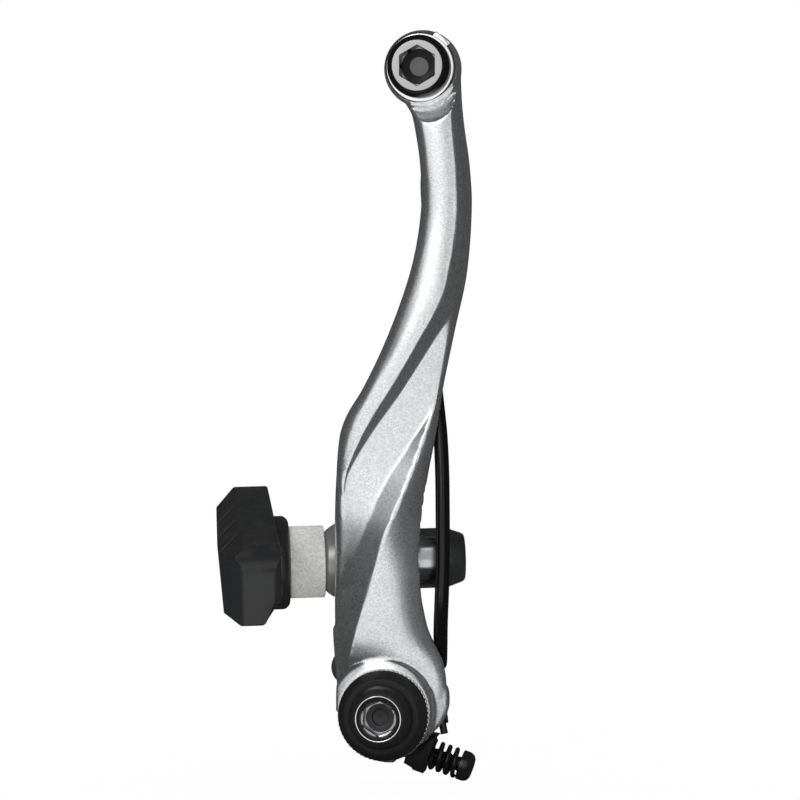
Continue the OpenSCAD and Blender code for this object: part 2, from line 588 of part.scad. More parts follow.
module cable_bolt() {
    y = eye_front - cable_washer_t;
    color("#303030")
    difference() {
        union() {
            turned([[0, y - anchor_head_h], [anchor_head_d / 2 - 1, y - anchor_head_h],
                [anchor_head_d / 2 - 0.6, y - anchor_head_h + 0.2], [anchor_head_d / 2, y - anchor_head_h + 1.5],
                [anchor_head_d / 2, y], [0, y]], eye_x, eye_z);
            along_y(y - 0.1, y + anchor_len, anchor_d / 2, eye_x, eye_z);
        }
        hex_y(anchor_hex, y - anchor_head_h - over, y - 1, 30, eye_x, eye_z);
    }
}

module cable_washer() {
    color("lightgray")
    difference() {
        union() {
            along_y(eye_front - cable_washer_t, eye_front, cable_washer_d / 2, eye_x, eye_z);
            // Tab that stops the washer from turning, folded over the eye
            translate([eye_x, 0, eye_z]) rotate([0, -52, 0])
                translate([cable_washer_d / 2 - 1.5, eye_front - cable_washer_t, -1.6]) cube([2, cable_washer_t, 3.2]);
        }
        along_y(eye_front - 4, eye_front + over, anchor_d / 2 + 0.1, eye_x, eye_z);
    }
}

// Frame of the shoe: the common centre of the ball faces, with the set toe-in and lean
ball_x = web_left + ball_in;
stud_r = stud_d / 2;
stud_gap = 0.12;
cup_rim_r = 4.9;
cup_at = sqrt(pow(ball_r + run_gap, 2) - cup_rim_r * cup_rim_r);
thick_out = cup_at + thick_cup_t;
thin_out = cup_at + thin_cup_t;
nut_at = thin_out + flat_washer_t;
module at_ball() {
    translate([ball_x, slot_y, slot_z]) children();
}
module at_shoe() {
    at_ball() rotate([0, 0, toe_in]) rotate([0, stud_lean, 0]) children();
}
// Dome washer whose flat seats at distance flat_x from the ball's centre, pointing to +X
module dome(flat_x) {
    rotate([0, 90, 0]) rotate_extrude()
    intersection() {
        circle(r = ball_r);
        translate([dome_bore_d / 2, flat_x]) square([(dome_d - dome_bore_d) / 2, ball_r]);
    }
}
// Cup washer with a ball recess, its flat back at x, pointing to +X
module cup(x) {
    difference() {
        turned_x([[stud_r + stud_gap, cup_at], [cup_d / 2 - 0.3, cup_at], [cup_d / 2, cup_at + 0.3], [cup_d / 2, x - 0.3],
            [cup_d / 2 - 0.3, x], [stud_r + stud_gap, x]]);
        sphere(r = ball_r + run_gap);
    }
}

module inner_dome_washer() {
    color("#9a9b9d") at_ball() mirror([1, 0, 0]) dome(ball_x - web_left);
}
module outer_dome_washer() {
    color("#9a9b9d") at_ball() dome(pocket_right - ball_x);
}
module inner_cup_washer() {
    color("#d7d7d0") at_shoe() mirror([1, 0, 0]) cup(thick_out);
}
module outer_cup_washer() {
    color("#d7d7d0") at_shoe() cup(thin_out);
}
module flat_washer() {
    color("silver") at_shoe()
    difference() {
        along_x(thin_out, nut_at, cup_d / 2 - 0.3);
        along_x(thin_out - over, nut_at + over, stud_r + stud_gap);
    }
}
module shoe_nut() {
    color("#77797c") at_shoe()
    difference() {
        turned_x([[stud_r + 0.02, nut_at], [nut_d / 2, nut_at], [nut_d / 2, nut_at + nut_len * 0.62],
            [nut_d / 2 - 0.25, nut_at + nut_len * 0.75], [nut_d / 2 - 1, nut_at + nut_len - 0.3],
            [nut_d / 2 - 1.3, nut_at + nut_len], [stud_r + 0.02, nut_at + nut_len]]);
        translate([nut_at + nut_len - 4, 0, 0]) rotate([0, 90, 0]) cylinder(h = 6, r = nut_hex / sqrt(3), $fn = 6);
    }
}

// Back of the rubber against the thick cup, and the metal plate inside it
pad_back = -thick_out - pad_boss_h;
core_t = 1.6;
core_at = pad_back - 2.2;
module at_pad() {
    at_shoe() rotate([shoe_pitch, 0, 0]) children();
}
module shoe_stud() {
    color("dimgray") at_pad()
    union() {
        along_x(core_at - 0.1, nut_at + nut_len - 4.6, stud_r);
        core_plate();
    }
}
module core_plate() {
    translate([core_at - core_t, -pad_len * 0.3, pad_rise - pad_h * 0.34]) cube([core_t, pad_len * 0.6, pad_h * 0.68]);
}
module brake_shoe() {
    h = pad_h / 2;
    l = pad_len / 2;
    front = pad_back - pad_t;
    color("#333436") at_pad()
    difference() {
        union() {
            intersection() {
                translate([0, -l, pad_rise]) rotate([-90, 0, 0]) linear_extrude(pad_len)
                    polygon([[pad_back, -h], [front + pad_chamfer, -h], [front, -h + pad_chamfer],
                        [front, h - 1.8], [front + 2.6, h], [pad_back - 2.6, h], [pad_back, h - 2.2]]);
                translate([0, 0, pad_rise - h - 1]) linear_extrude(pad_h + 2)
                    polygon([[pad_back, -l + 1], [pad_back - 1, -l], [front + 3.2, -l], [front, -l + 2.6],
                        [front, l - 2.6], [front + 3.2, l], [pad_back - 1, l], [pad_back, l - 1]]);
            }
            turned_x([[0, pad_back - 3], [pad_boss_d / 2, pad_back - 3], [pad_boss_d / 2, -thick_out - 0.8],
                [pad_boss_d / 2 - 0.8, -thick_out], [0, -thick_out]]);
        }
        along_x(core_at - 0.1, 0, stud_r);
        core_plate();
        for (i = [0:groove_n - 1]) translate([front - over, (i - (groove_n - 1) / 2) * groove_pitch - groove_w / 2, pad_rise - h - over])
            cube([groove_depth + over, groove_w, pad_h + 2 * over]);
    }
}

pivot_bushing();
pivot_bolt();
front_washer();
pivot_cap();
stopper_plate();
stopper_pin();
screw_block();
spring_holder();
return_spring();
spring_sleeve();
screw_spring();
tension_screw();
brake_arm();
cable_bolt();
cable_washer();
inner_dome_washer();
outer_dome_washer();
inner_cup_washer();
outer_cup_washer();
brake_shoe();
shoe_stud();
flat_washer();
shoe_nut();
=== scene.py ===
"""Linear-pull brake arm with its shoe and return spring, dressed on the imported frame."""
import math

import bmesh
import bpy
from mathutils import Matrix, Vector


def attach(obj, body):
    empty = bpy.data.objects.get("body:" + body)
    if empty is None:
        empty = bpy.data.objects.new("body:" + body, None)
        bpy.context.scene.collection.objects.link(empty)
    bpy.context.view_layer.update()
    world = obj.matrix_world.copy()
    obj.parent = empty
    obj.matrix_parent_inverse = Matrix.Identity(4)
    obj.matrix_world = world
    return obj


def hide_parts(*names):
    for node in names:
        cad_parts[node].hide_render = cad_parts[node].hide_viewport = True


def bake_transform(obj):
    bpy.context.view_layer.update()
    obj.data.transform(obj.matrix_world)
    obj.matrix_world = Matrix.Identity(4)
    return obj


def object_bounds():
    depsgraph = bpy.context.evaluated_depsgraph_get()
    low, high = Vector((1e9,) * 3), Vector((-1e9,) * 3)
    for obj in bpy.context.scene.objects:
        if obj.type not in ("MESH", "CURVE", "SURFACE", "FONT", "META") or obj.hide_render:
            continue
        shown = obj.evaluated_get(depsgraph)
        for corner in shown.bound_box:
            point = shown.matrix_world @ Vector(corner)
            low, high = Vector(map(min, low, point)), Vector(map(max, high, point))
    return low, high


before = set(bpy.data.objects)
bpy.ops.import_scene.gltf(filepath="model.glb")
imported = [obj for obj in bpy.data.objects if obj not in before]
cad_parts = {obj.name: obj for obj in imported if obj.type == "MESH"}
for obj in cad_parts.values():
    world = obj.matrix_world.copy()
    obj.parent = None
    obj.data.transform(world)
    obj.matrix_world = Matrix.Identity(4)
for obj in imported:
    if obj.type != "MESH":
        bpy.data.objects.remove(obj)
cad_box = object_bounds()
scene = bpy.context.scene
MM = 0.001


# ---------------------------------------------------------------- camera
# Long lens at the height of the arm's middle, eight degrees round to the right.
view_from = Vector((0.0770, -0.5456, 0.0614))
view_to = Vector((0.0027, -0.0172, 0.0521))
camera_data = bpy.data.cameras.new("camera")
camera_data.sensor_width = 36
camera_data.lens = 145.5
camera_data.clip_start = 0.01
camera_data.clip_end = 20
camera = bpy.data.objects.new("camera", camera_data)
scene.collection.objects.link(camera)
camera.location = view_from
camera.rotation_euler = (view_to - view_from).to_track_quat("-Z", "Y").to_euler()
scene.camera = camera
scene.view_settings.view_transform = "Standard"


# ---------------------------------------------------------------- floor, backdrop and light
# White floor that keeps a faint shadow and white surroundings. The metal gets its dark flanks from
# dark cards round it, which only reflections show.
def link_new(name, mesh):
    """Object at the origin that shows a mesh."""
    made = bpy.data.objects.new(name, mesh)
    scene.collection.objects.link(made)
    return made


def feed(nodes, socket, value):
    """Sets a value on a socket, or links another node's output to it."""
    if isinstance(value, bpy.types.NodeSocket):
        nodes.id_data.links.new(value, socket)
    else:
        socket.default_value = value


def put(nodes, kind, *in_order, operation=None, **by_name):
    """New shader node, with what goes to its sockets in their order or by their names."""
    made = nodes.new("ShaderNode" + kind)
    if operation:
        made.operation = operation
    for k, value in enumerate(in_order):
        feed(nodes, made.inputs[k], value)
    for label, value in by_name.items():
        feed(nodes, made.inputs[label.replace("_", " ")], value)
    return made


def seen_directly(nodes):
    """Value that is 1 for what the camera sees, also in a reflection or through glass."""
    path = put(nodes, "LightPath")
    total = put(nodes, "Math", path.outputs["Is Camera Ray"], path.outputs["Is Glossy Ray"], operation="ADD")
    capped = put(nodes, "Math", total.outputs[0], path.outputs["Is Transmission Ray"], operation="ADD")
    capped.use_clamp = True
    return capped.outputs[0]


def new_material(name):
    """Material and its nodes."""
    made = bpy.data.materials.new(name)
    made.use_nodes = True
    return made, made.node_tree.nodes


def set_shader(nodes, **by_name):
    """Sets or links the sockets of a material's shader."""
    for label, value in by_name.items():
        feed(nodes, nodes["Principled BSDF"].inputs[label.replace("_", " ")], value)


floor_z = cad_box[0].z - 0.0002
bm = bmesh.new()
bmesh.ops.create_circle(bm, cap_ends=True, segments=96, radius=1.6,
                        matrix=Matrix.Translation((0, 0, floor_z)))
floor_mesh = bpy.data.meshes.new("floor")
bm.to_mesh(floor_mesh)
bm.free()
floor = link_new("floor", floor_mesh)
floor_white, nodes = new_material("floor_white")
nodes.clear()
paper = put(nodes, "BsdfDiffuse", Color=(0.9, 0.9, 0.9, 1))
white = put(nodes, "Emission")
reach = put(nodes, "VectorMath", put(nodes, "TexCoord").outputs["Object"], operation="LENGTH")
fade = put(nodes, "MapRange", reach.outputs["Value"], From_Min=0.1, From_Max=0.3, To_Min=0.97, To_Max=1.0)
seen = put(nodes, "Math", fade.outputs["Result"], seen_directly(nodes), operation="MULTIPLY")
mixed = put(nodes, "MixShader", seen.outputs[0], paper.outputs[0], white.outputs[0])
put(nodes, "OutputMaterial", Surface=mixed.outputs[0])
floor_mesh.materials.append(floor_white)

world = bpy.data.worlds.new("studio")
scene.world = world
world.use_nodes = True
nodes = world.node_tree.nodes
nodes.clear()
room = put(nodes, "Background", Color=(0.7, 0.7, 0.7, 1))
bright = put(nodes, "Background", Color=(1, 1, 1, 1))
mixed = put(nodes, "MixShader", seen_directly(nodes), room.outputs[0], bright.outputs[0])
put(nodes, "OutputWorld", Surface=mixed.outputs[0])


def card_material(name, roughness, glow):
    """Nearly black card, which may glow evenly."""
    made, nodes = new_material(name)
    set_shader(nodes, Base_Color=(0.03, 0.03, 0.03, 1), Roughness=roughness, Emission_Color=(1, 1, 1, 1),
               Emission_Strength=glow)
    return made


def upright_card(start, end, low, high):
    """Corners of a card that stands over a line on the floor."""
    return [(*start, low), (*end, low), (*end, high), (*start, high)]


# The card that lies on the floor leaves a wedge of white open towards the camera
card_dark = card_material("card_dark", 1.0, 0.0)
card_dim = card_material("card_dim", 0.5, 0.5)
card_z = floor_z + 0.0001
overhead = ((-0.6, -0.62), (0.6, -0.62), (0.6, 0.42), (-0.6, 0.42))
lying = ((-0.6, 0.42), (-0.6, -0.7), (-0.45, -0.7), (-0.06, -0.07), (0.04, -0.07), (0.32, -0.6), (0.6, -0.6),
         (0.6, 0.42))
for card_name, card_look, corners in (
        ("card_left", card_dark, upright_card((-0.5, -0.7), (-0.5, 0.4), -0.1, 0.6)),
        ("card_right", card_dark, upright_card((0.42, -0.7), (0.42, 0.4), -0.1, 0.6)),
        ("card_behind", card_dark, upright_card((-0.6, 0.42), (0.6, 0.42), -0.1, 0.7)),
        ("card_above", card_dark, [(x, y, 0.6) for x, y in overhead]),
        ("card_below", card_dark, [(x, y, card_z) for x, y in lying]),
        ("card_grey", card_dim, upright_card((0.07, -0.8), (0.6, -0.8), -0.01, 0.6))):
    bm = bmesh.new()
    bm.faces.new([bm.verts.new(corner) for corner in corners])
    card_mesh = bpy.data.meshes.new(card_name)
    bm.to_mesh(card_mesh)
    bm.free()
    card_mesh.materials.append(card_look)
    card = link_new(card_name, card_mesh)
    card.visible_camera = False
    card.visible_diffuse = False
    card.visible_shadow = False

# The top lamp is kept out of reflections, where it would draw a ragged line along the eye
lit_at = Vector((0, 0, 0.05))
for lamp_name, spot, size, power in (
        ("key", (-0.22, -0.75, 0.36), 0.2, 0.7),
        ("top", (-0.12, 0.06, 0.45), 0.3, 0.5),
        ("fill", (0.45, -0.70, 0.10), 0.4, 0.3),
        ("back", (0.25, 0.80, 0.50), 0.5, 0.6)):
    lamp_data = bpy.data.lights.new(lamp_name, "AREA")
    lamp_data.size = size
    lamp_data.energy = power
    lamp = bpy.data.objects.new(lamp_name, lamp_data)
    lamp.location = spot
    lamp.rotation_euler = (lit_at - Vector(spot)).to_track_quat("-Z", "Y").to_euler()
    lamp.visible_glossy = lamp_name != "top"
    scene.collection.objects.link(lamp)


# ---------------------------------------------------------------- brake arm
# Aluminium forging with a silver metallic paint. One smooth skin runs from the barrel on
# the pivot up to the eye, and the bore, the slot for the shoe and the pocket are machined.
left_edge = [
    [1, -8.5, -11.5], [7, -8.9, -12.2], [10, -8.95, -13.5], [13, -8.95, -14.8], [18, -9, -15],
    [24, -8.85, -14.9], [32, -8.6, -15], [39, -8.3, -15.1], [46, -7.7, -15.2], [49.5, -6.5, -15.2],
    [54, -3.8, -15], [61, -0.4, -14.8], [69, 2.7, -14.5], [76, 4.7, -14.2], [84, 5.8, -13.8],
    [91, 5.6, -13.4], [97, 4.7, -13], [99.5, 4.1, -13], [101.5, 3, -13], [106, 2.4, -13]]
left_crest = [
    [1, -7.8, -12.1], [7, -8.4, -12.9], [10, -8.5, -14.1], [13, -8.4, -15.2], [18, -8.3, -15.45],
    [24, -8.2, -15.6], [30, -7.9, -16.05], [36, -7.5, -16.6], [42, -6.9, -17], [48, -4.8, -17.8],
    [53, -2.2, -18.1], [60.5, 1.4, -18.1], [69, 4.5, -17.9], [76, 6.5, -17.7], [83, 7.6, -17.5],
    [91, 7.2, -17.6], [97, 6.5, -17.7], [106, 4.4, -17.7]]
strip_top = [
    [1, -7.5, -12.5], [7, -8.1, -13.1], [10, -8.2, -14.35], [13, -8.1, -15.4], [18, -8, -15.6],
    [24, -7.9, -15.8], [30, -7.5, -16.3], [36, -7, -16.8], [40, -6.4, -17.1], [47, -3.2, -17.8],
    [56, 2.6, -18.2], [61, 5.5, -18.3], [68.5, 9.6, -18.2], [75, 11.3, -17.8], [82, 12.2, -17.4],
    [90, 12.1, -17.5], [97, 11.5, -17.6], [106, 10.8, -17.6]]
strip_foot = [
    [1, -7.2, -12.8], [7, -7.8, -13.2], [10, -7.9, -14.55], [13, -7.8, -15.6], [18, -7.7, -15.75],
    [24, -7.6, -15.95], [30, -7.1, -16.35], [36, -6.6, -16.6], [39.8, -6, -16.65], [45.6, -2.7, -16.7],
    [53.7, 2.9, -16.5], [62.5, 8.5, -16.25], [67.2, 11.4, -16.1], [75, 12.2, -16.7], [82, 12.9, -16.7],
    [90, 12.7, -16.9], [97, 12, -17], [106, 11.3, -17]]
panel_crease = [
    [1, -6.9, -13], [7, -7.5, -13.3], [10, -7.6, -14.75], [13, -7.5, -15.8], [18, -7.4, -15.9],
    [21.4, -7.2, -16.05], [25, -5.8, -16.4], [28.4, -4.3, -16.6], [33, -2.3, -16.85], [38.5, 0.1, -16.55],
    [45.3, 4.4, -16.15], [51.4, 8.1, -15.95], [60, 10.2, -15.8], [65, 11.1, -15.8], [67, 11.6, -15.8],
    [75, 12.7, -15.9], [82, 13.4, -15.8], [90, 13.15, -15.9], [97, 12.4, -16], [106, 11.8, -16]]
ridge = [
    [1, -6.2, -13.8], [5, -6.2, -14.6], [7, -6.2, -15.6], [9, -6, -16.6], [10.8, -5.5, -17.1],
    [12.5, -5, -17.4], [14.9, -4.3, -17.6], [17.5, -3.5, -17.8], [22.3, -2, -17.95], [29.3, 0.1, -18.15],
    [33, 1.7, -18], [37, 3.4, -17.7], [41, 4.9, -17.2], [45.9, 6.5, -16.65], [52, 8.6, -15.95],
    [60, 10.45, -15.4], [67, 11.8, -15.3], [75, 13, -15.1], [82, 13.7, -15], [90, 13.4, -15],
    [97, 12.7, -15], [106, 12.1, -15]]
turns = [
    [1, 7.6, -16.3], [6, 7.6, -16.4], [9, 6.2, -16.7], [12, 4.2, -17.1], [15, 3, -17.4], [20, 2.1, -17.7],
    [24.5, 2.6, -17.3], [29, 3.2, -17.1], [37, 5.3, -16.8], [46, 7.7, -16.4], [52, 9.1, -15.6],
    [60, 10.8, -15], [67, 12.2, -14.9], [75, 13.5, -14.7], [82, 14.1, -14.6], [90, 13.8, -14.5],
    [97, 13.1, -14.4], [106, 12.4, -14.4]]
crown = [[1, 0], [44, 0], [52, 0.12], [64, 0.32], [80, 0.36], [96, 0.3], [106, 0.1]]
dish = [[1, 0], [40, 0], [46, 0.22], [58, 0.16], [64, 0], [106, 0]]
right_edge = [
    [1, 9.9, -14.3], [5, 10.1, -14.3], [8.3, 9.6, -14.2], [9.8, 9, -14.2], [11.6, 8.1, -14.2],
    [13.4, 7.3, -14.4], [15, 6.8, -14.6], [20, 5.95, -15.2], [27, 5.65, -15.3], [32, 6, -15.3],
    [39, 7, -15.2], [47.5, 8.6, -14.8], [54, 9.5, -14.2], [63.5, 11.4, -13.8], [73, 13.4, -13.6],
    [84, 14.2, -13.4], [91, 13.8, -13.2], [97, 12.95, -13], [101, 12.5, -13], [106, 12.3, -13]]
backs = [
    [1, -6.2, -12.4, -12.1], [7, -6, -12.5, -12.2], [11, -4, -13.1, -12.6], [14.5, -2.2, -13.4, -13.2],
    [20, -2, -14.2, -14.5], [38, -2, -14.4, -14.6], [48, -2.6, -14, -14.3], [53, -3, -13.6, -14],
    [56, -3.4, -13.4, -13.8], [61, -3.9, -9.5, -13.4], [66, -4.6, -6.5, -13], [76, -5.6, -6.2, -12.2],
    [86, -7, -7.2, -11.2], [94, -8.2, -8.6, -9.8], [98, -8.6, -9.9, -9.8], [106, -8.6, -11, -10.9]]
right_wall = [[1, 2], [46, 1.6], [53, 1.2], [58, 1.2], [61, 1.9], [65, 3], [70, 2.2], [106, 2]]
left_lean = [[1, 0], [60, 0.2], [80, 0.6], [84, -0.9], [90, -0.8], [93, 0.8], [106, 0.8]]
eye = (6.2, 106.8)
barrel_front = -17.1
barrel_r = 7.75
bore_r = 5.05
bolt_bore_r = 3.05
room_front = -10.825
room_back = -5.9
room_r = 7.725
room_wall = 1.0
web_left = -8.3
web_front = -15.1
pocket_right = -3.2
pocket_top = 44
pocket_end = 56
left_at_pocket = -8.1
wall_left = 2.2
slot_y = -8.5
slot_z = 24.95
slot_r = 3.9
slot_half = 4.45
through = 30


def at(rows, z):
    """Smooth curve through rows that start with their height, without the height."""
    i = 0
    while i < len(rows) - 2 and z > rows[i + 1][0]:
        i += 1
    p, q = rows[i], rows[i + 1]
    h = q[0] - p[0]
    t = (z - p[0]) / h

    def slope(k):
        a, b = rows[max(k - 1, 0)], rows[min(k + 1, len(rows) - 1)]
        return [(y - x) / (b[0] - a[0]) for x, y in zip(a, b)]
    s, e = slope(i), slope(i + 1)
    return [(1 + 2 * t) * (1 - t) ** 2 * p[k] + t * (1 - t) ** 2 * h * s[k]
            + t * t * (3 - 2 * t) * q[k] - t * t * (1 - t) * h * e[k] for k in range(1, len(p))]


def rounded(a, corner, b, count):
    """Points of a round from a to b that keeps to the corner."""
    return [tuple((1 - t) ** 2 * a[k] + 2 * t * (1 - t) * corner[k] + t * t * b[k] for k in (0, 1))
            for t in (j / count for j in range(1, count))]


def arm_section(z):
    """Level section of the arm, from the back of the left wall round the front."""
    left, crest, top, foot = at(left_edge, z), at(left_crest, z), at(strip_top, z), at(strip_foot, z)
    crease, peak, right = at(panel_crease, z), at(ridge, z), at(right_edge, z)
    bulge, sink = at(crown, z)[0], at(dish, z)[0]
    rear = at(backs, z)
    if z < pocket_top:
        inside = pocket_right + 0.4
    else:
        spare = (pocket_right - left_at_pocket - wall_left) * (pocket_end - z) / (pocket_end - pocket_top)
        inside = left[0] + wall_left + max(0, spare)
    right_back = right[0] - 0.16 * (rear[1] - right[1])
    right_in = right[0] - at(right_wall, z)[0]
    points = [(left[0] + at(left_lean, z)[0], rear[0]), tuple(left)]
    points += rounded(left, (left[0] + 0.1, crest[1] + 0.45), crest, 8)
    points.append(tuple(crest))
    points += rounded(crest, ((crest[0] + top[0]) / 2, (crest[1] + top[1]) / 2 - 2 * bulge), top, 7)
    points += [tuple(top), tuple(foot)]
    points += rounded(foot, (foot[0] + 0.35 * (crease[0] - foot[0]), foot[1] + sink), crease, 7)
    points += [tuple(crease), tuple(peak)]
    points += rounded(peak, at(turns, z), right, 10)
    points += [tuple(right), (right_back, rear[1]), (min(right_in, right_back - 0.8), rear[1]),
               (right_in, rear[2]), (inside, rear[2]), (inside, rear[0])]
    return [Vector((x, y, z)) * MM for x, y in points]


def skin_through(bm, rings, capped=True):
    """Skin over rings of points, made by pulling the first ring through all the others."""
    place = bm.verts.layers.int.get("place") or bm.verts.layers.int.new("place")
    loop = [bm.verts.new(p) for p in rings[0]]
    for k, v in enumerate(loop):
        v[place] = k
    first = loop
    edges = [bm.edges.new((loop[k], loop[(k + 1) % len(loop)])) for k in range(len(loop))]
    made = set(loop)
    for ring in rings[1:]:
        pulled = bmesh.ops.extrude_edge_only(bm, edges=edges)["geom"]
        loop = sorted((g for g in pulled if isinstance(g, bmesh.types.BMVert)), key=lambda v: v[place])
        edges = [g for g in pulled if isinstance(g, bmesh.types.BMEdge)]
        for v in loop:
            v.co = ring[v[place]]
        made.update(loop)
        edges = [e for e in edges if e.verts[0] in loop and e.verts[1] in loop]
    if capped:
        bm.faces.new(first)
        bm.faces.new(list(reversed(loop)))
    return list(made)


def circle(radius, y, x=0.0, z=0.0, count=96, start=0.0):
    """Ring of points round an axis along Y, in millimetres."""
    return [Vector((x + radius * math.cos(start + math.tau * k / count), y,
                    z + radius * math.sin(start + math.tau * k / count))) * MM for k in range(count)]


def lathe(bm, profile, x=0.0, z=0.0, count=96):
    """Solid turned about an axis along Y from rows of [radius, depth], in millimetres."""
    rings = [circle(max(r, 0.001), y, x, z, count) for r, y in profile]
    return skin_through(bm, rings)


def clean(bm, keep_apart=2e-6):
    """Merges doubles and turns every face outwards."""
    bmesh.ops.remove_doubles(bm, verts=bm.verts, dist=keep_apart)
    bmesh.ops.recalc_face_normals(bm, faces=bm.faces)


def slab(bm, outline, y0, y1):
    """Plate from y0 back to y1 with an outline of [x, z] seen from the front."""
    return skin_through(bm, [[Vector((x, y, z)) * MM for x, z in outline] for y in (y0, y1)])


def block(bm, low, high):
    """Box between two corners, in millimetres."""
    made = bmesh.ops.create_cube(bm, size=1.0)["verts"]
    size = Vector(high) - Vector(low)
    bmesh.ops.scale(bm, vec=size * MM, verts=made)
    bmesh.ops.translate(bm, vec=(Vector(high) + Vector(low)) * 0.5 * MM, verts=made)
    return made


def to_mesh(bm, name):
    """Clean mesh with all that was made."""
    clean(bm)
    mesh = bpy.data.meshes.new(name)
    bm.to_mesh(mesh)
    bm.free()
    return mesh


def piece(name, bm, place=None):
    """Object with all that was made, turned and moved to its place."""
    if place is not None:
        bmesh.ops.transform(bm, matrix=place, verts=bm.verts)
    return link_new(name, to_mesh(bm, name))


def through_modifiers(thing):
    """Mesh of a thing with its modifiers applied, put back in place of its own."""
    bpy.context.view_layer.update()
    graph = bpy.context.evaluated_depsgraph_get()
    mesh = bpy.data.meshes.new_from_object(thing.evaluated_get(graph), depsgraph=graph)
    old = thing.data
    thing.modifiers.clear()
    thing.data = mesh
    bpy.data.meshes.remove(old)
    return thing


def cut(thing, cutter_mesh, operation="DIFFERENCE", overlapping=False):
    """Cuts a thing with a closed cutter, or joins them."""
    cutter = link_new("cutter", cutter_mesh)
    change = thing.modifiers.new("cut", "BOOLEAN")
    change.operation = operation
    change.solver = "EXACT"
    change.use_self = overlapping
    change.object = cutter
    through_modifiers(thing)
    bpy.data.objects.remove(cutter)
    bpy.data.meshes.remove(cutter_mesh)
    return thing


def settle(thing, body, node, material, sharp=35):
    """Gives a finished piece its shading and material, hides its CAD node and hangs it on its body, if one is
    given.
    """
    mesh = thing.data
    for face in mesh.polygons:
        face.use_smooth = True
    mesh.set_sharp_from_angle(angle=math.radians(sharp))
    mesh.materials.clear()
    mesh.materials.append(material)
    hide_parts(node)
    if body:
        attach(thing, body)
    return thing


# The blade's skin has a section every half millimetre. The barrel and the eye stand in it.
bm = bmesh.new()
skin_through(bm, [arm_section(level * 0.5) for level in range(2, 213)])
lathe(bm, [(0, barrel_front), (barrel_r - 0.2, barrel_front), (barrel_r, barrel_front + 0.2),
           (barrel_r, barrel_front + 0.8), (7.25, room_front + 0.4), (7.25, room_front + 0.5),
           (0, room_front + 0.5)])
lathe(bm, [(0, -17), (5.7, -17), (6.05, -16.75), (6.3, -16.2), (6.4, -15.3), (6.4, -14.4), (5.9, -10.5),
           (5.2, -9), (4.6, -8.5), (0, -8.5)], *eye)
arm = piece("brake_arm_casting", bm)

# Cone at the barrel's front, shroud over the spring's coil and lobe at the right, each kept to its part
bm = bmesh.new()
skin_through(bm, [circle(barrel_r, barrel_front), circle(8.6, barrel_front + 0.45, -0.55, 0.5),
                  circle(8.9, barrel_front + 4, -0.55, 0.5)])
cone = piece("cone", bm)
bm = bmesh.new()
slab(bm, [(-8.1, 0.5), (-8.1, 12.3), (9, 12.3), (9.2, -1.2), (7.2, -4.6), (0, -6.1)], -20, 0)
cut(cone, to_mesh(bm, "cone_limit"), "INTERSECT")
bm = bmesh.new()
lathe(bm, [(0, room_front - 0.5), (room_r + room_wall, room_front - 0.5), (room_r + room_wall, room_back),
           (0, room_back)])
shroud = piece("shroud", bm)
bm = bmesh.new()
slab(bm, [(1, -12), (-12, -12), (-12, 12), (5.5, 12), (5, 7), (1, 1)], -20, 0)
cut(shroud, to_mesh(bm, "shroud_limit"), "INTERSECT")
bm = bmesh.new()
lobe_x, lobe_z, lobe_r = 3.3, 2.3, 7.1
rim = [(lobe_x + lobe_r * math.cos(math.radians(a)), lobe_z + lobe_r * math.sin(math.radians(a)))
       for a in range(0, 360, 4)]
skin_through(bm, [[Vector((x, y0 + lean * x, z)) * MM for x, z in rim]
                  for y0, lean in ((-17.5, 0.3), (-12, 0))])
lobe = piece("lobe", bm)
bm = bmesh.new()
slab(bm, [(4, -4), (6.4, -5.2), (12, -5.2), (12, 4.5), (5, 4.5)], -20, 0)
cut(lobe, to_mesh(bm, "lobe_limit"), "INTERSECT")

bm = bmesh.new()
for part in (arm, cone, shroud, lobe):
    bm.from_mesh(part.data)
joined = bpy.data.meshes.new("brake_arm")
bm.to_mesh(joined)
bm.free()
for part in (cone, shroud, lobe):
    bpy.data.objects.remove(part)
arm.data = joined
arm.name = "brake_arm_painted"

# Bores, cable washer's seat, flats and pocket, and the slot for the shoe's stud
bm = bmesh.new()
lathe(bm, [(0, -through), (bore_r, -through), (bore_r, 5), (0, 5)])
lathe(bm, [(0, room_front), (room_r, room_front), (room_r, 5), (0, 5)])
lathe(bm, [(0, -through), (bolt_bore_r, -through), (bolt_bore_r, 5), (0, 5)], *eye)
lathe(bm, [(0, -through), (9.7, -through), (9.7, -18.2), (6.4, -16.1), (6.4, -17), (0, -17)], *eye)
block(bm, (-14, web_front, 14.3), (web_left, -1.1, 35.6))
slab(bm, [(pocket_right, 13.3), (3.2, 13.3), (4, 16), (4.6, 19), (5.1, 21.3), (12.8, 23.5), (12.8, 38),
          (pocket_right, 38)], web_front, 0.9)
slot_outline = []
for side, turned in ((1, 0), (-1, 180)):
    for k in range(25):
        a = math.radians(180 * k / 24 + turned)
        slot_outline.append((slot_y + slot_r * math.cos(a), slot_z + side * slot_half + slot_r * math.sin(a)))
skin_through(bm, [[Vector((x, y, z)) * MM for y, z in slot_outline] for x in (-14, 6)])
cut(arm, to_mesh(bm, "machining"), overlapping=True)

# One skin is drawn over it all, laid back on the machined shape and smoothed, which rounds its edges
machined = link_new("machined", arm.data.copy())
whole = arm.modifiers.new("whole", "REMESH")
whole.mode = "VOXEL"
whole.voxel_size = 0.0003
whole.use_smooth_shade = True
through_modifiers(arm)
laid = arm.modifiers.new("laid", "SHRINKWRAP")
laid.target = machined
through_modifiers(arm)
soften = arm.modifiers.new("soften", "SMOOTH")
soften.factor = 0.5
soften.iterations = 3
through_modifiers(arm)
bpy.data.objects.remove(machined)


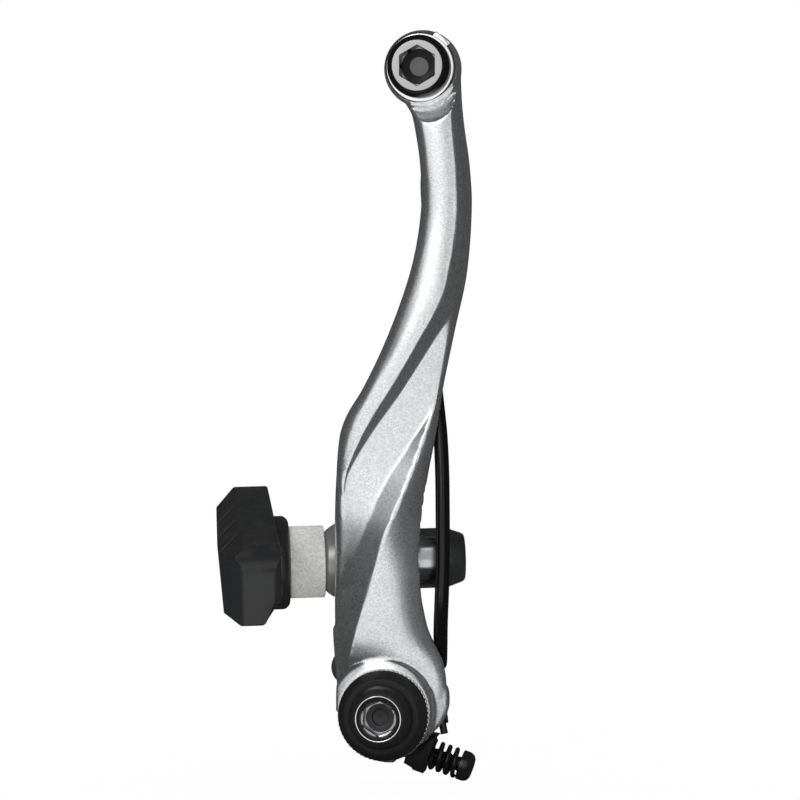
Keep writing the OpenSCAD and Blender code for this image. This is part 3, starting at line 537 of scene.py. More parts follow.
def new_group(name, inputs, outputs):
    """Shader group with named sockets, and its two end nodes."""
    group = bpy.data.node_groups.new(name, "ShaderNodeTree")
    for label, kind, value in inputs:
        socket = group.interface.new_socket(name=label, in_out="INPUT", socket_type=kind)
        if value is not None:
            socket.default_value = value
    for label, kind in outputs:
        group.interface.new_socket(name=label, in_out="OUTPUT", socket_type=kind)
    return group, group.nodes.new("NodeGroupInput"), group.nodes.new("NodeGroupOutput")


# Flake of the paint: cells about a fifth of a millimetre wide that each catch the light differently
flake, start, end = new_group(
    "paint_flake",
    [("Vector", "NodeSocketVector", None), ("Cells", "NodeSocketFloat", 5500.0)],
    [("Sparkle", "NodeSocketFloat"), ("Cloud", "NodeSocketFloat"), ("Height", "NodeSocketFloat")])
spot = start.outputs["Vector"]
cells = put(flake.nodes, "TexVoronoi", Vector=spot, Scale=start.outputs["Cells"])
tone = put(flake.nodes, "SeparateColor", cells.outputs["Color"])
cloud = put(flake.nodes, "TexNoise", Vector=spot, Scale=260, Detail=4)
peel = put(flake.nodes, "TexNoise", Vector=spot, Scale=900, Detail=2)
height = put(flake.nodes, "Math", tone.outputs[1], 0.45, peel.outputs["Fac"], operation="MULTIPLY_ADD")
for value, label in ((tone.outputs[0], "Sparkle"), (cloud.outputs[0], "Cloud"), (height.outputs[0], "Height")):
    feed(flake.nodes, end.inputs[label], value)


def group_node(nodes, group, **by_name):
    """Shader group in a material, with what goes to its sockets."""
    made = nodes.new("ShaderNodeGroup")
    made.node_tree = group
    for label, value in by_name.items():
        feed(nodes, made.inputs[label], value)
    return made


def ramp_between(nodes, factor, low, high):
    """Value from low to high with a factor from 0 to 1."""
    return put(nodes, "MapRange", factor, To_Min=low, To_Max=high).outputs["Result"]


def colour_mix(nodes, factor, low, high):
    """Colour from low to high with a factor from 0 to 1."""
    mix = put(nodes, "Mix", factor)
    mix.data_type = "RGBA"
    feed(nodes, mix.inputs[6], low)
    feed(nodes, mix.inputs[7], high)
    return mix.outputs[2]


def relief(nodes, height, strength, depth):
    """Fine relief on a material's shader from a height, with its depth in metres."""
    set_shader(nodes, Normal=put(nodes, "Bump", Strength=strength, Distance=depth, Height=height).outputs[0])


arm_silver, nodes = new_material("arm_silver_paint")
specks = group_node(nodes, flake, Vector=put(nodes, "TexCoord").outputs["Object"], Cells=4600.0)
set_shader(nodes, Metallic=0.92, Coat_Weight=0.12, Coat_Roughness=0.25,
           Base_Color=colour_mix(nodes, specks.outputs["Sparkle"], (0.66, 0.67, 0.685, 1),
                                 (0.90, 0.91, 0.925, 1)),
           Roughness=ramp_between(nodes, specks.outputs["Cloud"], 0.24, 0.32))
relief(nodes, specks.outputs["Height"], 0.07, 0.00002)
settle(arm, "arm", "brake_arm", arm_silver)


# ---------------------------------------------------------------- pivot bolt, cap, washer and bushing
# Blackened button-head bolt with a hex socket and a rolled thread, a moulded black cap, a bright
# steel washer with a serrated rim and a turned steel bushing, all stacked on the pivot axis.
def eased(points, radius, count=3, closed=False):
    """Row of points with its corners rounded over."""
    total = len(points)
    made = [] if closed else [points[0]]
    for k in range(total) if closed else range(1, total - 1):
        b, c, a = Vector(points[k - 1]), Vector(points[k]), Vector(points[(k + 1) % total])
        reach = min(radius, 0.45 * (c - b).length, 0.45 * (a - c).length)
        first, last = c + (b - c).normalized() * reach, c + (a - c).normalized() * reach
        made += [tuple(first)] + rounded(tuple(first), tuple(c), tuple(last), count) + [tuple(last)]
    return made if closed else made + [points[-1]]


def ring_lathe(bm, profile, x=0.0, z=0.0, count=96):
    """Ring turned about an axis along Y from a closed row of [radius, depth]."""
    return skin_through(bm, [circle(r, y, x, z, count) for r, y in profile + profile[:1]], capped=False)


def hexagon(flats, y, x=0.0, z=0.0, start=0.0, count=96):
    """Ring of points on a hexagon with slightly rounded corners, one of them where its points start."""
    made = []
    for k in range(count):
        a = math.tau * k / count
        r = min(flats / 2 / math.cos(a % (math.pi / 3) - math.pi / 6), flats / math.sqrt(3) * 0.985)
        made.append(Vector((x + r * math.cos(a + start), y, z + r * math.sin(a + start))) * MM)
    return made


def thread(radius, y0, y1, pitch, depth, x=0.0, z=0.0, count=96, start=0.0):
    """Rings of a screw thread from y0 to y1, which fades out at both ends."""
    turns = abs(y1 - y0) / pitch
    steps = max(4, round(turns * 8))
    rings = []
    for i in range(steps + 1):
        y = y0 + (y1 - y0) * i / steps
        fade_out = min(1.0, turns * i / steps, turns * (steps - i) / steps)
        ring = []
        for k in range(count):
            a = math.tau * k / count
            turn = (y / pitch + k / count) % 1.0
            r = radius - depth * min(1.0, max(0.0, abs(2 * turn - 1) * 1.4 - 0.2)) * fade_out
            ring.append(Vector((x + r * math.cos(a + start), y, z + r * math.sin(a + start))) * MM)
        rings.append(ring)
    return rings


# Grain of moulded, rolled and turned surfaces: a fine one for gloss and a broad one for colour
grain, start, end = new_group(
    "fine_grain",
    [("Vector", "NodeSocketVector", None), ("Scale", "NodeSocketFloat", 1500.0)],
    [("Fine", "NodeSocketFloat"), ("Cloud", "NodeSocketFloat"), ("Height", "NodeSocketFloat")])
spot = start.outputs["Vector"]
fine = put(grain.nodes, "TexNoise", Vector=spot, Scale=start.outputs["Scale"], Detail=3)
broad = put(grain.nodes, "TexNoise", Vector=spot, Scale=140, Detail=5)
both = put(grain.nodes, "Math", broad.outputs["Fac"], 0.3, fine.outputs["Fac"], operation="MULTIPLY_ADD")
for value, label in ((fine.outputs[0], "Fine"), (broad.outputs[0], "Cloud"), (both.outputs[0], "Height")):
    feed(grain.nodes, end.inputs[label], value)

# Dust that has settled a little on whatever faces up
dust, start, end = new_group(
    "light_dust",
    [("Vector", "NodeSocketVector", None), ("Normal", "NodeSocketVector", None),
     ("Amount", "NodeSocketFloat", 0.1)],
    [("Mask", "NodeSocketFloat")])
upward = put(dust.nodes, "SeparateXYZ", start.outputs["Normal"])
motes = put(dust.nodes, "TexNoise", Vector=start.outputs["Vector"], Scale=420, Detail=6)
spots = put(dust.nodes, "MapRange", motes.outputs["Fac"], From_Min=0.45, From_Max=0.75)
facing = put(dust.nodes, "MapRange", upward.outputs["Z"], From_Min=0.1, From_Max=0.9)
product = put(dust.nodes, "Math", spots.outputs["Result"], facing.outputs["Result"], operation="MULTIPLY")
scaled = put(dust.nodes, "Math", product.outputs[0], start.outputs["Amount"], operation="MULTIPLY")
scaled.use_clamp = True
feed(dust.nodes, end.inputs["Mask"], scaled.outputs[0])


def surface(name, low, high, rough, metallic=0.0, coat=0.0, scale=1500.0, bump_strength=0.2, depth=0.00001,
            stretch=(1, 1, 1), dusty=0.0, shine=0.5, flakes=0.0):
    """Material whose colour, gloss and relief vary with grain in object space, or its colour with flakes."""
    made, nodes = new_material(name)
    set_shader(nodes, Metallic=metallic, Specular_IOR_Level=shine)
    if coat:
        set_shader(nodes, Coat_Weight=coat, Coat_Roughness=0.08)
    where = put(nodes, "TexCoord").outputs
    placed = put(nodes, "Mapping", where["Object"], Scale=stretch)
    grains = group_node(nodes, grain, Vector=placed.outputs["Vector"], Scale=scale)
    mottle = grains.outputs["Cloud"]
    if flakes:
        mottle = group_node(nodes, flake, Vector=where["Object"], Cells=flakes).outputs["Sparkle"]
    colour = colour_mix(nodes, mottle, (*low, 1), (*high, 1))
    if dusty:
        motes = group_node(nodes, dust, Vector=where["Object"], Normal=where["Normal"], Amount=dusty)
        colour = colour_mix(nodes, motes.outputs["Mask"], colour, (0.42, 0.41, 0.39, 1))
    set_shader(nodes, Base_Color=colour, Roughness=ramp_between(nodes, grains.outputs["Fine"], *rough))
    relief(nodes, grains.outputs["Height"], bump_strength, depth)
    return made


def bare_band(material, centre, near, far, colour, metallic, rough):
    """Shows bare metal between two distances, in millimetres, from an axis along Y."""
    nodes = material.node_tree.nodes
    flat = put(nodes, "Mapping", put(nodes, "TexCoord").outputs["Object"],
               Location=(-centre[0] * MM, 0, -centre[1] * MM), Scale=(1, 0, 1))
    reach = put(nodes, "VectorMath", flat.outputs["Vector"], operation="LENGTH").outputs["Value"]
    beyond = put(nodes, "Math", reach, near * MM, operation="GREATER_THAN")
    within = put(nodes, "Math", reach, far * MM, operation="LESS_THAN")
    inside = put(nodes, "Math", beyond.outputs[0], within.outputs[0], operation="MULTIPLY").outputs[0]

    def so_far(label):
        socket = nodes["Principled BSDF"].inputs[label]
        return socket.links[0].from_socket if socket.is_linked else socket.default_value
    painted = colour_mix(nodes, inside, so_far("Base Color"), (*colour, 1))
    metal, gloss = (put(nodes, "Mix", inside, A=so_far(label), B=value).outputs[0]
                    for label, value in (("Metallic", metallic), ("Roughness", rough)))
    set_shader(nodes, Base_Color=painted, Metallic=metal, Roughness=gloss)


# Depths of the stack on the pivot, from the washer outwards
washer_y = -17.4
cap_y = -18.2
head_y = -20.6
turned = math.radians(26)
pole_r = 0.02
bolt_r = 3.0
stack_bore = 3.72
outside = eased([(3.0, washer_y + 0.5), (3.0, washer_y + 0.3), (3.6, washer_y + 0.2), (3.6, head_y),
                 (5.25, head_y), (5.25, head_y - 1.1), (4.86, head_y - 2.2), (4.3, head_y - 3.0),
                 (3.86, head_y - 3.22), (3.8, head_y - 3.3), (3.62, head_y - 3.3), (3.5, head_y - 3.18),
                 (3.38, head_y - 2.9), (2.95, head_y - 2.72)], 0.12)
socket = [(5.1, head_y - 2.66), (5.0, head_y - 2.5), (5.0, head_y - 0.98), (4.9, head_y - 0.9)]
drilled = [(1.5, head_y - 0.9), (1.35, head_y - 0.85), (1.25, head_y - 0.5), (pole_r, head_y - 0.4)]
bm = bmesh.new()
skin_through(bm, [circle(r, -2.8, start=turned) for r in (pole_r, 2.4)]
             + thread(bolt_r, -3.2, washer_y + 0.6, 1.0, 0.5, start=turned)
             + [circle(r, y, start=turned) for r, y in outside]
             + [hexagon(flats, y, start=turned) for flats, y in socket]
             + [circle(r, y, start=turned) for r, y in drilled])
pivot_bolt = piece("pivot_bolt_black", bm)
bolt_black = surface("bolt_black", (0.028, 0.028, 0.030), (0.05, 0.05, 0.053), (0.30, 0.42), metallic=0.55,
                     scale=2400, bump_strength=0.12)
bare_band(bolt_black, (0, 0), 3.56, 3.84, (0.80, 0.79, 0.77), 1.0, 0.2)
bare_band(bolt_black, (0, 0), 2.35, 2.9, (0.42, 0.42, 0.43), 1.0, 0.25)
settle(pivot_bolt, "mount", "pivot_bolt", bolt_black, sharp=28)

bm = bmesh.new()
ring_lathe(bm, eased([(stack_bore, head_y), (6.15, head_y), (6.42, head_y + 0.18), (7.24, head_y + 1.5),
                      (7.5, head_y + 2.0), (7.5, cap_y), (stack_bore, cap_y)], 0.16, closed=True), count=144)
pivot_cap = piece("pivot_cap_moulded", bm)
cap_black = surface("cap_black_moulded", (0.010, 0.010, 0.011), (0.020, 0.020, 0.021), (0.34, 0.5),
                    shine=0.25, scale=1900, bump_strength=0.45, depth=0.00002, dusty=0.05)
settle(pivot_cap, "mount", "pivot_cap", cap_black, sharp=28)

# The washer's rim is serrated, which breaks its bright line up into dashes
bm = bmesh.new()
notched = []
washer_rim = 7.64
for r, y in eased([(stack_bore, cap_y), (washer_rim, cap_y), (washer_rim, washer_y), (stack_bore, washer_y)],
                  0.1, closed=True):
    ring = circle(r, y, count=360)
    if r > 7:
        for k, point in enumerate(ring):
            if k % 6 > 2:
                point.x *= 0.985
                point.z *= 0.985
    notched.append(ring)
skin_through(bm, notched + notched[:1], capped=False)
front_washer = piece("front_washer_bright", bm)
washer_steel = surface("washer_bright_steel", (0.74, 0.74, 0.75), (0.86, 0.86, 0.86), (0.12, 0.24),
                       metallic=1.0, scale=1800, bump_strength=0.1)
settle(front_washer, "mount", "front_washer", washer_steel, sharp=28)

bm = bmesh.new()
ring_lathe(bm, eased([(4.3, washer_y), (4.8, washer_y), (5, washer_y + 0.2), (5, -0.2), (4.8, 0), (4.3, 0),
                      (4, -0.3), (4, washer_y + 0.3)], 0.08, closed=True))
bushing = piece("pivot_bushing_turned", bm)
bushing_steel = surface("bushing_turned_steel", (0.58, 0.58, 0.59), (0.70, 0.70, 0.71), (0.22, 0.34),
                        metallic=1.0, scale=900, bump_strength=0.3, stretch=(0.05, 6, 0.05))
settle(bushing, "mount", "pivot_bushing", bushing_steel)


# ---------------------------------------------------------------- stopper, screw block and spring holder
# Stamped black plate with its riveted pin, the moulded block that carries the tension screw and the
# moulded disc that the short leg of the spring sits in. Each is taken from its solid and gets eased edges.
def from_solid(node, name, ease, segments=2):
    """Copy of a CAD node with its triangles merged and its edges rounded over, by ease millimetres."""
    bm = bmesh.new()
    bm.from_mesh(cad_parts[node].data)
    bmesh.ops.remove_doubles(bm, verts=bm.verts, dist=1e-6)
    bmesh.ops.dissolve_limit(bm, angle_limit=math.radians(1), verts=bm.verts, edges=bm.edges)
    hard = [e for e in bm.edges if len(e.link_faces) == 2 and e.calc_face_angle() > math.radians(35)]
    bmesh.ops.bevel(bm, geom=hard, offset=ease * MM, offset_type="OFFSET", affect="EDGES", segments=segments,
                    profile=0.5, material=-1, clamp_overlap=True)
    bmesh.ops.triangulate(bm, faces=[f for f in bm.faces if len(f.verts) > 4])
    return piece(name, bm)


plate_black = surface("plate_black_coated", (0.030, 0.030, 0.032), (0.055, 0.055, 0.057), (0.34, 0.5),
                      metallic=0.3, scale=1700, bump_strength=0.3, dusty=0.1)
nylon_black = surface("nylon_black", (0.008, 0.008, 0.009), (0.018, 0.018, 0.019), (0.3, 0.48), shine=0.3,
                      scale=1300, bump_strength=0.35, depth=0.00002, dusty=0.08)
pin_steel = surface("pin_grey_steel", (0.40, 0.40, 0.41), (0.55, 0.55, 0.56), (0.26, 0.4), metallic=1.0,
                    scale=1600)
for node, name, ease, body, slot, material in (
        ("stopper_plate", "stopper_plate_stamped", 0.12, "mount", "plate_black", plate_black),
        ("stopper_pin", "stopper_pin_steel", 0.08, "mount", "pin_steel", pin_steel),
        ("screw_block", "screw_block_moulded", 0.14, "mount", "nylon_black", nylon_black),
        ("spring_holder", "spring_holder_moulded", 0.1, "spring_holder", "nylon_black", nylon_black)):
    settle(from_solid(node, name, ease), body, node, material)


# ---------------------------------------------------------------- return spring and its sleeve
# Blackened spring wire wound round the bushing. Its short leg is cut off at the right, and its long leg
# goes up behind the arm in a plastic sleeve.
wire_r = 0.625
coil_r = 6.6
coil_front = -10.0
coil_pitch = 1.32
coil_turns = 2.95
coil_back = coil_front + coil_turns * coil_pitch


def smooth_path(points, steps):
    """Smooth path through points, as many steps between neighbours."""
    made = []
    for i in range(len(points) - 1):
        a, b = Vector(points[max(i - 1, 0)]), Vector(points[i])
        c, d = Vector(points[i + 1]), Vector(points[min(i + 2, len(points) - 1)])
        for k in range(steps):
            t = k / steps
            made.append(0.5 * (2 * b + (c - a) * t + (2 * a - 5 * b + 4 * c - d) * t * t
                               + (3 * b - a - 3 * c + d) * t ** 3))
    return made + [Vector(points[-1])]


def tube_rings(path, radius, sides):
    """Rings along a path, which don't twist."""
    side = Vector((0, 1, 0.013))
    rings = []
    for i, spot in enumerate(path):
        ahead = (path[min(i + 1, len(path) - 1)] - path[max(i - 1, 0)]).normalized()
        side = (side - side.dot(ahead) * ahead).normalized()
        other = ahead.cross(side)
        turns = (math.tau * k / sides for k in range(sides))
        rings.append([(spot + radius * (math.cos(a) * side - math.sin(a) * other)) * MM for a in turns])
    return rings


long_leg = [(7.4, -11.9, 61.5), (7.4, -11.9, 59), (7.8, -12, 55), (8.3, -12.3, 51), (8.9, -13, 46),
            (9.3, -13.9, 40), (9.5, -14.8, 33), (9.55, -15, 26), (9.35, -14.7, 20), (9, -13.4, 15),
            (8.75, -11.8, 11), (8.45, -10.5, 7.5), (7.7, -10.05, 4), (6.85, -10, 1.2)]
long_path = smooth_path(long_leg, 8)
coil_path = []
for i in range(1, 361):
    a = -math.tau * coil_turns * i / 360
    coil_path.append(Vector((coil_r * math.cos(a), coil_front + coil_turns * coil_pitch * i / 360,
                             coil_r * math.sin(a))))
lean = math.radians(12)
short_leg = [Vector((7.35, coil_back, 0.6))] + [
    Vector((8.1 + (1.1 + 1.5 * k) * math.sin(lean) - 0.25, coil_back, -1.2 - 1.55 * k)) for k in range(3)]
bm = bmesh.new()
skin_through(bm, tube_rings(long_path + coil_path + short_leg, wire_r, 16))
spring = piece("return_spring_wire", bm)
spring_steel = surface("spring_black_steel", (0.035, 0.035, 0.037), (0.075, 0.075, 0.078), (0.22, 0.34),
                       metallic=0.75, bump_strength=0.15, stretch=(1, 1, 0.3))
settle(spring, None, "return_spring", spring_steel)
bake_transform(spring)

# The sleeve covers the long leg but for its two ends
sleeve_r = 1.2
covered = long_path[4:89]
outer, mouth, inner = (tube_rings(covered, r, 24) for r in (sleeve_r, sleeve_r - 0.12, wire_r + 0.04))
bm = bmesh.new()
skin_through(bm, [mouth[0]] + outer[1:-1] + [mouth[-1]] + inner[::-1] + [mouth[0]], capped=False)
sleeve = piece("spring_sleeve_plastic", bm)
sleeve_black = surface("sleeve_black_gloss", (0.004, 0.004, 0.004), (0.007, 0.007, 0.008), (0.16, 0.26),
                       shine=0.3, coat=0.06, scale=700, bump_strength=0.12)
settle(sleeve, None, "spring_sleeve", sleeve_black)
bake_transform(sleeve)


# ---------------------------------------------------------------- tension screw and its small spring
# Blackened screw with a rounded head and a cross recess. The small open spring between the head and
# the block keeps it from turning by itself.
slope = math.radians(19)
screw_low = 5.7
foot = Vector((-screw_low * math.sin(slope), -3.1, -screw_low * math.cos(slope)))
across = Matrix.Rotation(math.radians(-90), 4, "Z")
on_screw = Matrix.Translation(foot * MM) @ Matrix.Rotation(slope, 4, "Y") @ across


def cross(arm_length, half_width, y, count=96):
    """Ring of points on a cross, seen along Y."""
    made = []
    for k in range(count):
        a = math.tau * k / count
        q = a % (math.pi / 2)
        q = min(q, math.pi / 2 - q)
        r = arm_length / math.cos(q) if math.tan(q) <= half_width / arm_length else half_width / math.sin(q)
        made.append(Vector((r * math.cos(a), y, r * math.sin(a))) * MM)
    return made


tip_at = 3.8
head_at = 13.55
head = eased([(1.25, head_at - 0.1), (1.25, head_at), (2.55, head_at), (2.55, head_at + 1.2),
              (2.3, head_at + 1.85), (1.75, head_at + 2.22), (1.3, head_at + 2.3), (1.2, head_at + 2.3)],
             0.22)
recess = [(1.62, 0.38, head_at + 2.26), (1.5, 0.34, head_at + 2.05), (1.1, 0.26, head_at + 1.2)]
bm = bmesh.new()
skin_through(bm, [circle(pole_r, tip_at), circle(0.55, tip_at), circle(1.25, tip_at + 0.55)]
             + thread(1.25, tip_at + 0.6, head_at - 0.2, 0.5, 0.16)
             + [circle(r, y) for r, y in head] + [cross(*row) for row in recess]
             + [circle(pole_r, head_at + 0.9)])
screw = piece("tension_screw_black", bm, on_screw)
settle(screw, "tension_screw", "tension_screw", spring_steel, sharp=32)

small_r = 2.2
small_wire_r = 0.4
small_turns = 3.25
small_from = 8.76
small_to = 13.09
small_path = []
for i in range(131):
    a = math.tau * small_turns * i / 130
    small_path.append(Vector((small_r * math.cos(a), small_from + (small_to - small_from) * i / 130,
                              -small_r * math.sin(a))))
bm = bmesh.new()
skin_through(bm, tube_rings(small_path, small_wire_r, 14))
small_spring = piece("screw_spring_wire", bm, on_screw)
settle(small_spring, None, "screw_spring", spring_steel)
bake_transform(small_spring)


# ---------------------------------------------------------------- cable bolt and cable washer
# Blackened bolt whose end face is turned bright, with a wide hex socket, and the bright chromed
# washer under it, which has a short tab folded over the eye at its upper right.
bolt_y = -18.6
upright = math.radians(90)
outside = eased([(3.0, bolt_y + 1.6), (3.0, bolt_y), (5.15, bolt_y), (5.15, bolt_y - 2.2),
                 (4.75, bolt_y - 3.35), (4.22, bolt_y - 3.66), (4.1, bolt_y - 3.7), (3.5, bolt_y - 3.7)],
                0.14)
socket = [(5.95, bolt_y - 3.7), (5.8, bolt_y - 3.6), (5.8, bolt_y - 1.1), (5.6, bolt_y - 1.0)]
drilled = [(1.6, bolt_y - 1.0), (1.5, bolt_y - 0.95), (pole_r, bolt_y - 0.9)]
bm = bmesh.new()
skin_through(bm, [circle(r, bolt_y + 11.5, *eye, start=upright) for r in (pole_r, 2.5)]
             + thread(bolt_r, bolt_y + 11.1, bolt_y + 1.8, 1.0, 0.5, *eye, start=upright)
             + [circle(r, y, *eye, start=upright) for r, y in outside]
             + [hexagon(flats, y, *eye, start=upright) for flats, y in socket]
             + [circle(r, y, *eye, start=upright) for r, y in drilled])
cable_bolt = piece("cable_bolt_black", bm)
anchor_black = surface("anchor_bolt_black", (0.006, 0.006, 0.006), (0.012, 0.012, 0.013), (0.26, 0.38),
                       metallic=0.2, shine=0.2, scale=2200, bump_strength=0.15)
bare_band(anchor_black, eye, 2.92, 4.14, (0.46, 0.46, 0.46), 0.75, 0.38)
bare_band(anchor_black, eye, -1, 1.55, (0.20, 0.20, 0.20), 0.3, 0.6)
settle(cable_bolt, "arm", "cable_bolt", anchor_black, sharp=28)

washer_bore = 3.12
bm = bmesh.new()
ring_lathe(bm, eased([(washer_bore, bolt_y), (5.55, bolt_y), (5.8, bolt_y + 0.25), (5.8, -17),
                      (washer_bore, -17)], 0.14, closed=True), *eye, count=144)
cable_washer = piece("cable_washer_chrome", bm)
bm = bmesh.new()
block(bm, (4.6, -18.55, -1.55), (6.25, -17.02, 1.55))
bmesh.ops.bevel(bm, geom=bm.edges[:], offset=0.16 * MM, offset_type="OFFSET", affect="EDGES", segments=2,
                profile=0.5, material=-1)
bmesh.ops.rotate(bm, cent=(0, 0, 0), matrix=Matrix.Rotation(math.radians(-52), 3, "Y"), verts=bm.verts)
bmesh.ops.translate(bm, vec=(eye[0] * MM, 0, eye[1] * MM), verts=bm.verts)
cut(cable_washer, to_mesh(bm, "tab"), "UNION")
washer_chrome = surface("washer_chrome_bright", (0.86, 0.86, 0.87), (0.95, 0.95, 0.95), (0.06, 0.14),
                        metallic=1.0, scale=1100, bump_strength=0.08)
settle(cable_washer, "arm", "cable_washer", washer_chrome, sharp=28)


# ---------------------------------------------------------------- ball and cup washers
# Two dome washers seat flat on both sides of the slot, and a thick and a thin cup washer turn on them,
# so that the shoe can be set at an angle. The cups are blasted, the domes left grey.
ball = Vector((web_left + 2, slot_y, slot_z))
shoe_turned = (Matrix.Translation(ball * MM) @ Matrix.Rotation(math.radians(12), 4, "Z")
               @ Matrix.Rotation(math.radians(-1.5), 4, "Y"))
at_ball = Matrix.Translation(ball * MM) @ across
at_shoe = shoe_turned @ across
ball_r = 7.0
hollow_r = 7.05
cup_mouth = 4.9
cup_at = math.sqrt(hollow_r ** 2 - cup_mouth ** 2)
thick_out = cup_at + 5.9
thin_out = cup_at + 3.0
nut_at = thin_out + 1.0


def on_ball(radius, low_r, high_r, steps):
    """Profile along a ball from one distance to another from the stud's axis."""
    return [(r, math.sqrt(radius * radius - r * r)) for r in
            (low_r + (high_r - low_r) * k / steps for k in range(steps + 1))]


dome_grey = surface("dome_grey_steel", (0.30, 0.30, 0.285), (0.48, 0.48, 0.46), (0.32, 0.44), metallic=0.6,
                    scale=1500, bump_strength=0.25)
cup_grey = surface("cup_blasted", (0.66, 0.66, 0.635), (0.88, 0.88, 0.85), (0.5, 0.65), metallic=0.1,
                   scale=2600, bump_strength=0.8, depth=0.00003, flakes=3200.0)
for name, node, side, flat_at in (("inner_dome_washer_grey", "inner_dome_washer", -1, 1.95),
                                  ("outer_dome_washer_grey", "outer_dome_washer", 1, 3.05)):
    bm = bmesh.new()
    profile = [(4.5, flat_at), (6.15, flat_at)] + on_ball(ball_r, 6.13, 4.52, 8)
    ring_lathe(bm, [(r, side * y) for r, y in profile])
    settle(piece(name, bm, at_ball), "shoe_slide", node, dome_grey, sharp=28)
for name, node, side, far in (("inner_cup_washer_blasted", "inner_cup_washer", -1, thick_out),
                              ("outer_cup_washer_blasted", "outer_cup_washer", 1, thin_out)):
    bm = bmesh.new()
    rim = eased([(cup_mouth + 0.04, cup_at), (6.05, cup_at), (6.05, far), (washer_bore, far)], 0.32)
    hollow = on_ball(hollow_r, washer_bore + 0.02, cup_mouth, 10)
    ring_lathe(bm, [(r, side * y) for r, y in rim + hollow])
    settle(piece(name, bm, at_shoe), "shoe_tilt", node, cup_grey, sharp=28)
bm = bmesh.new()
ring_lathe(bm, eased([(washer_bore, thin_out), (5.75, thin_out), (5.75, nut_at), (washer_bore, nut_at)],
                     0.1, closed=True))
settle(piece("flat_washer_steel", bm, at_shoe), "shoe", "flat_washer", washer_steel, sharp=28)


# ---------------------------------------------------------------- shoe nut and stud
# Dark chromed nut with a tapered end and a hex socket, on the shoe's threaded stud. The stud's metal
# plate is moulded into the rubber.
outside = eased([(3.02, nut_at + 5.5), (3.02, nut_at), (5.05, nut_at), (5.05, nut_at + 5.8),
                 (4.85, nut_at + 7.0), (4.1, nut_at + 9.1), (3.75, nut_at + 9.5), (3.1, nut_at + 9.5)], 0.28)
socket = [(5.15, nut_at + 9.42), (5.0, nut_at + 9.2), (5.0, nut_at + 5.6)]
bm = bmesh.new()
skin_through(bm, [circle(r, y) for r, y in outside] + [hexagon(flats, y) for flats, y in socket]
             + [circle(*outside[0])], capped=False)
nut = piece("shoe_nut_chrome", bm, at_shoe)
nut_chrome = surface("nut_dark_chrome", (0.36, 0.37, 0.38), (0.80, 0.81, 0.82), (0.10, 0.26), metallic=1.0,
                     scale=700, bump_strength=0.3, depth=0.00006)
settle(nut, "shoe", "shoe_nut", nut_chrome, sharp=28)

pad_back = -thick_out - 2.3
pad_front = pad_back - 9.3
core_at = pad_back - 2.2
pad_middle = 2
pad_width = 12.2
core_half = 0.34 * pad_width
at_pad = shoe_turned @ Matrix.Rotation(math.radians(5.7), 4, "X")
stud_r = 3.0
bm = bmesh.new()
skin_through(bm, [circle(pole_r, core_at - 0.1, count=48), circle(stud_r, core_at - 0.1, count=48),
                  circle(stud_r, -thick_out + 0.5, count=48)]
             + thread(stud_r, -thick_out + 0.6, nut_at + 4.5, 1.0, 0.45, count=48)
             + [circle(2.5, nut_at + 4.9, count=48), circle(pole_r, nut_at + 4.9, count=48)])
stud = piece("shoe_stud_threaded", bm, at_pad @ across)
bm = bmesh.new()
block(bm, (core_at - 1.6, -21, pad_middle - core_half), (core_at, 21, pad_middle + core_half))
bmesh.ops.transform(bm, matrix=at_pad, verts=bm.verts)
cut(stud, to_mesh(bm, "core"), "UNION")
settle(stud, "shoe", "shoe_stud", pin_steel)


# ---------------------------------------------------------------- brake shoe
# One moulding of black rubber, chamfered along its upper front edge and rounded over at its near end,
# with three water grooves across the braking face and a round boss on its back for the thick cup.
pad_half = 35.0
pad_top = pad_middle + pad_width / 2
pad_low = pad_middle - pad_width / 2
chamfer = 3.3
round_r = 4.2
far_round_r = 0.8
edge_r = 0.45
side_points = [(pad_back, pad_top), (pad_front + chamfer, pad_top)]
side_points += [(pad_front + chamfer - chamfer * k / 10, pad_top - chamfer * k / 10) for k in range(1, 11)]
side_points += [(pad_front, pad_low + 1.8)]
side_points += [(pad_front + 2.6 * k / 8, pad_low + 1.8 - 1.8 * k / 8) for k in range(1, 9)]
side_points += [(pad_back - 3, pad_low), (pad_back, pad_low + 4.4)]


def pad_section(y, inset, drop):
    """Section of the rubber at a place along it, kept inside its ends and its upper round."""
    ends = pad_half - abs(y)
    front = pad_front + max(0.0, 3.2 * (1 - ends / 2.6)) + inset
    back = pad_back - max(0.0, 1.0 - ends) - inset
    low, high = pad_low + inset, pad_top - inset - drop
    points = []
    for x, z in eased(side_points, 0.55, 3, closed=True):
        points.append(Vector((min(max(x, front), back), y, min(max(z, low), high))) * MM)
    return points


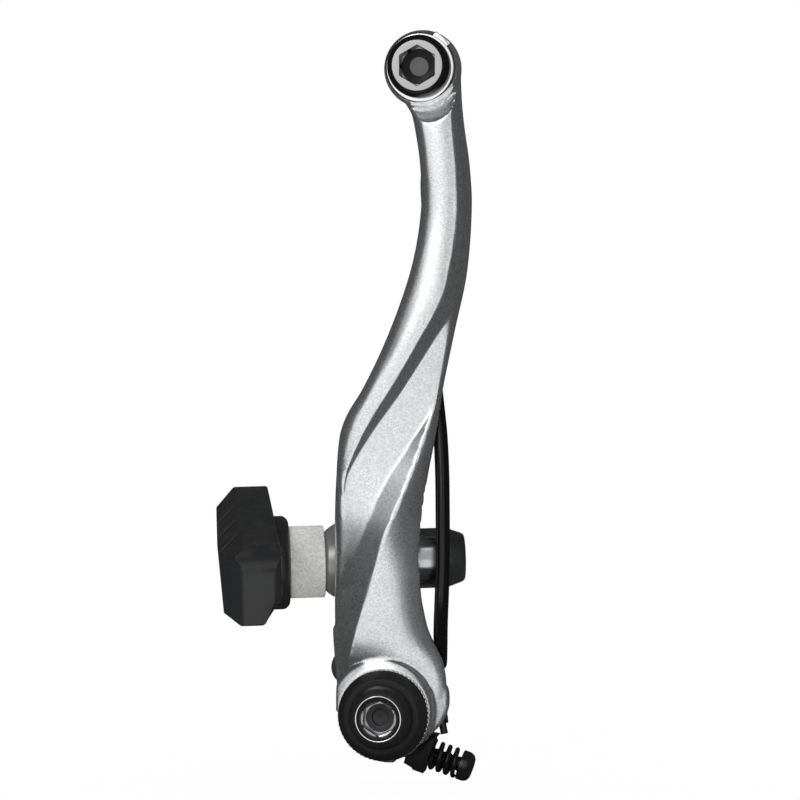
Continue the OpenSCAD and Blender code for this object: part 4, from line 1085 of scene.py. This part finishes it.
def drawn_in(radius, d):
    """How far a round of a radius draws the surface in, at a distance from the end."""
    return radius - math.sqrt(max(0.0, radius ** 2 - max(0.0, radius - d) ** 2))


def end_stations(length, radius):
    """Distance from the end, inset and drop of the sections that round an end over."""
    steps = [length * (1 - math.cos(math.radians(90 * k / 12))) for k in range(13)]
    return [(d, drawn_in(edge_r, d), drawn_in(radius, d)) for d in steps]


stations = [(d - pad_half, inset, drop) for d, inset, drop in end_stations(round_r, round_r)]
stations += [(-pad_half + 4.3 + (2 * pad_half - 6.9) * k / 40, 0.0, 0.0) for k in range(41)]
stations += [(pad_half - d, inset, drop) for d, inset, drop in reversed(end_stations(2.4, far_round_r))]
bm = bmesh.new()
skin_through(bm, [pad_section(*station) for station in stations])
shoe = piece("brake_shoe_rubber", bm)
bm = bmesh.new()
lathe(bm, eased([(0, pad_back - 3), (7.85, pad_back - 3), (7.85, -thick_out - 0.8), (7.05, -thick_out),
                 (3.05, -thick_out), (0, -thick_out)], 0.5), count=120)
bmesh.ops.transform(bm, matrix=across, verts=bm.verts)
cut(shoe, to_mesh(bm, "boss"), "UNION")

# Water grooves across the braking face and the bore that the stud is moulded into
bm = bmesh.new()
for middle in (-15, 0, 15):
    skin_through(bm, [[Vector((x, y, z)) * MM for x, y in
                       ((pad_front - 1, middle - 1.25), (pad_front + deep, middle - 0.5),
                        (pad_front + deep, middle + 0.5), (pad_front - 1, middle + 1.25))]
                      for z, deep in ((pad_low - 1, 1.8), (pad_top + 1, 2.9))])
bored = lathe(bm, [(0, core_at - 1), (stud_r + 0.03, core_at - 1), (stud_r + 0.03, 5), (0, 5)], count=64)
bmesh.ops.transform(bm, matrix=across, verts=bored)
cut(shoe, to_mesh(bm, "grooves"))
shoe.data.transform(at_pad)
rubber_black = surface("rubber_black_moulded", (0.014, 0.0145, 0.0155), (0.026, 0.027, 0.029), (0.26, 0.42),
                       shine=0.4, bump_strength=0.5, depth=0.00004, dusty=0.06)
settle(shoe, "shoe", "brake_shoe", rubber_black, sharp=30)
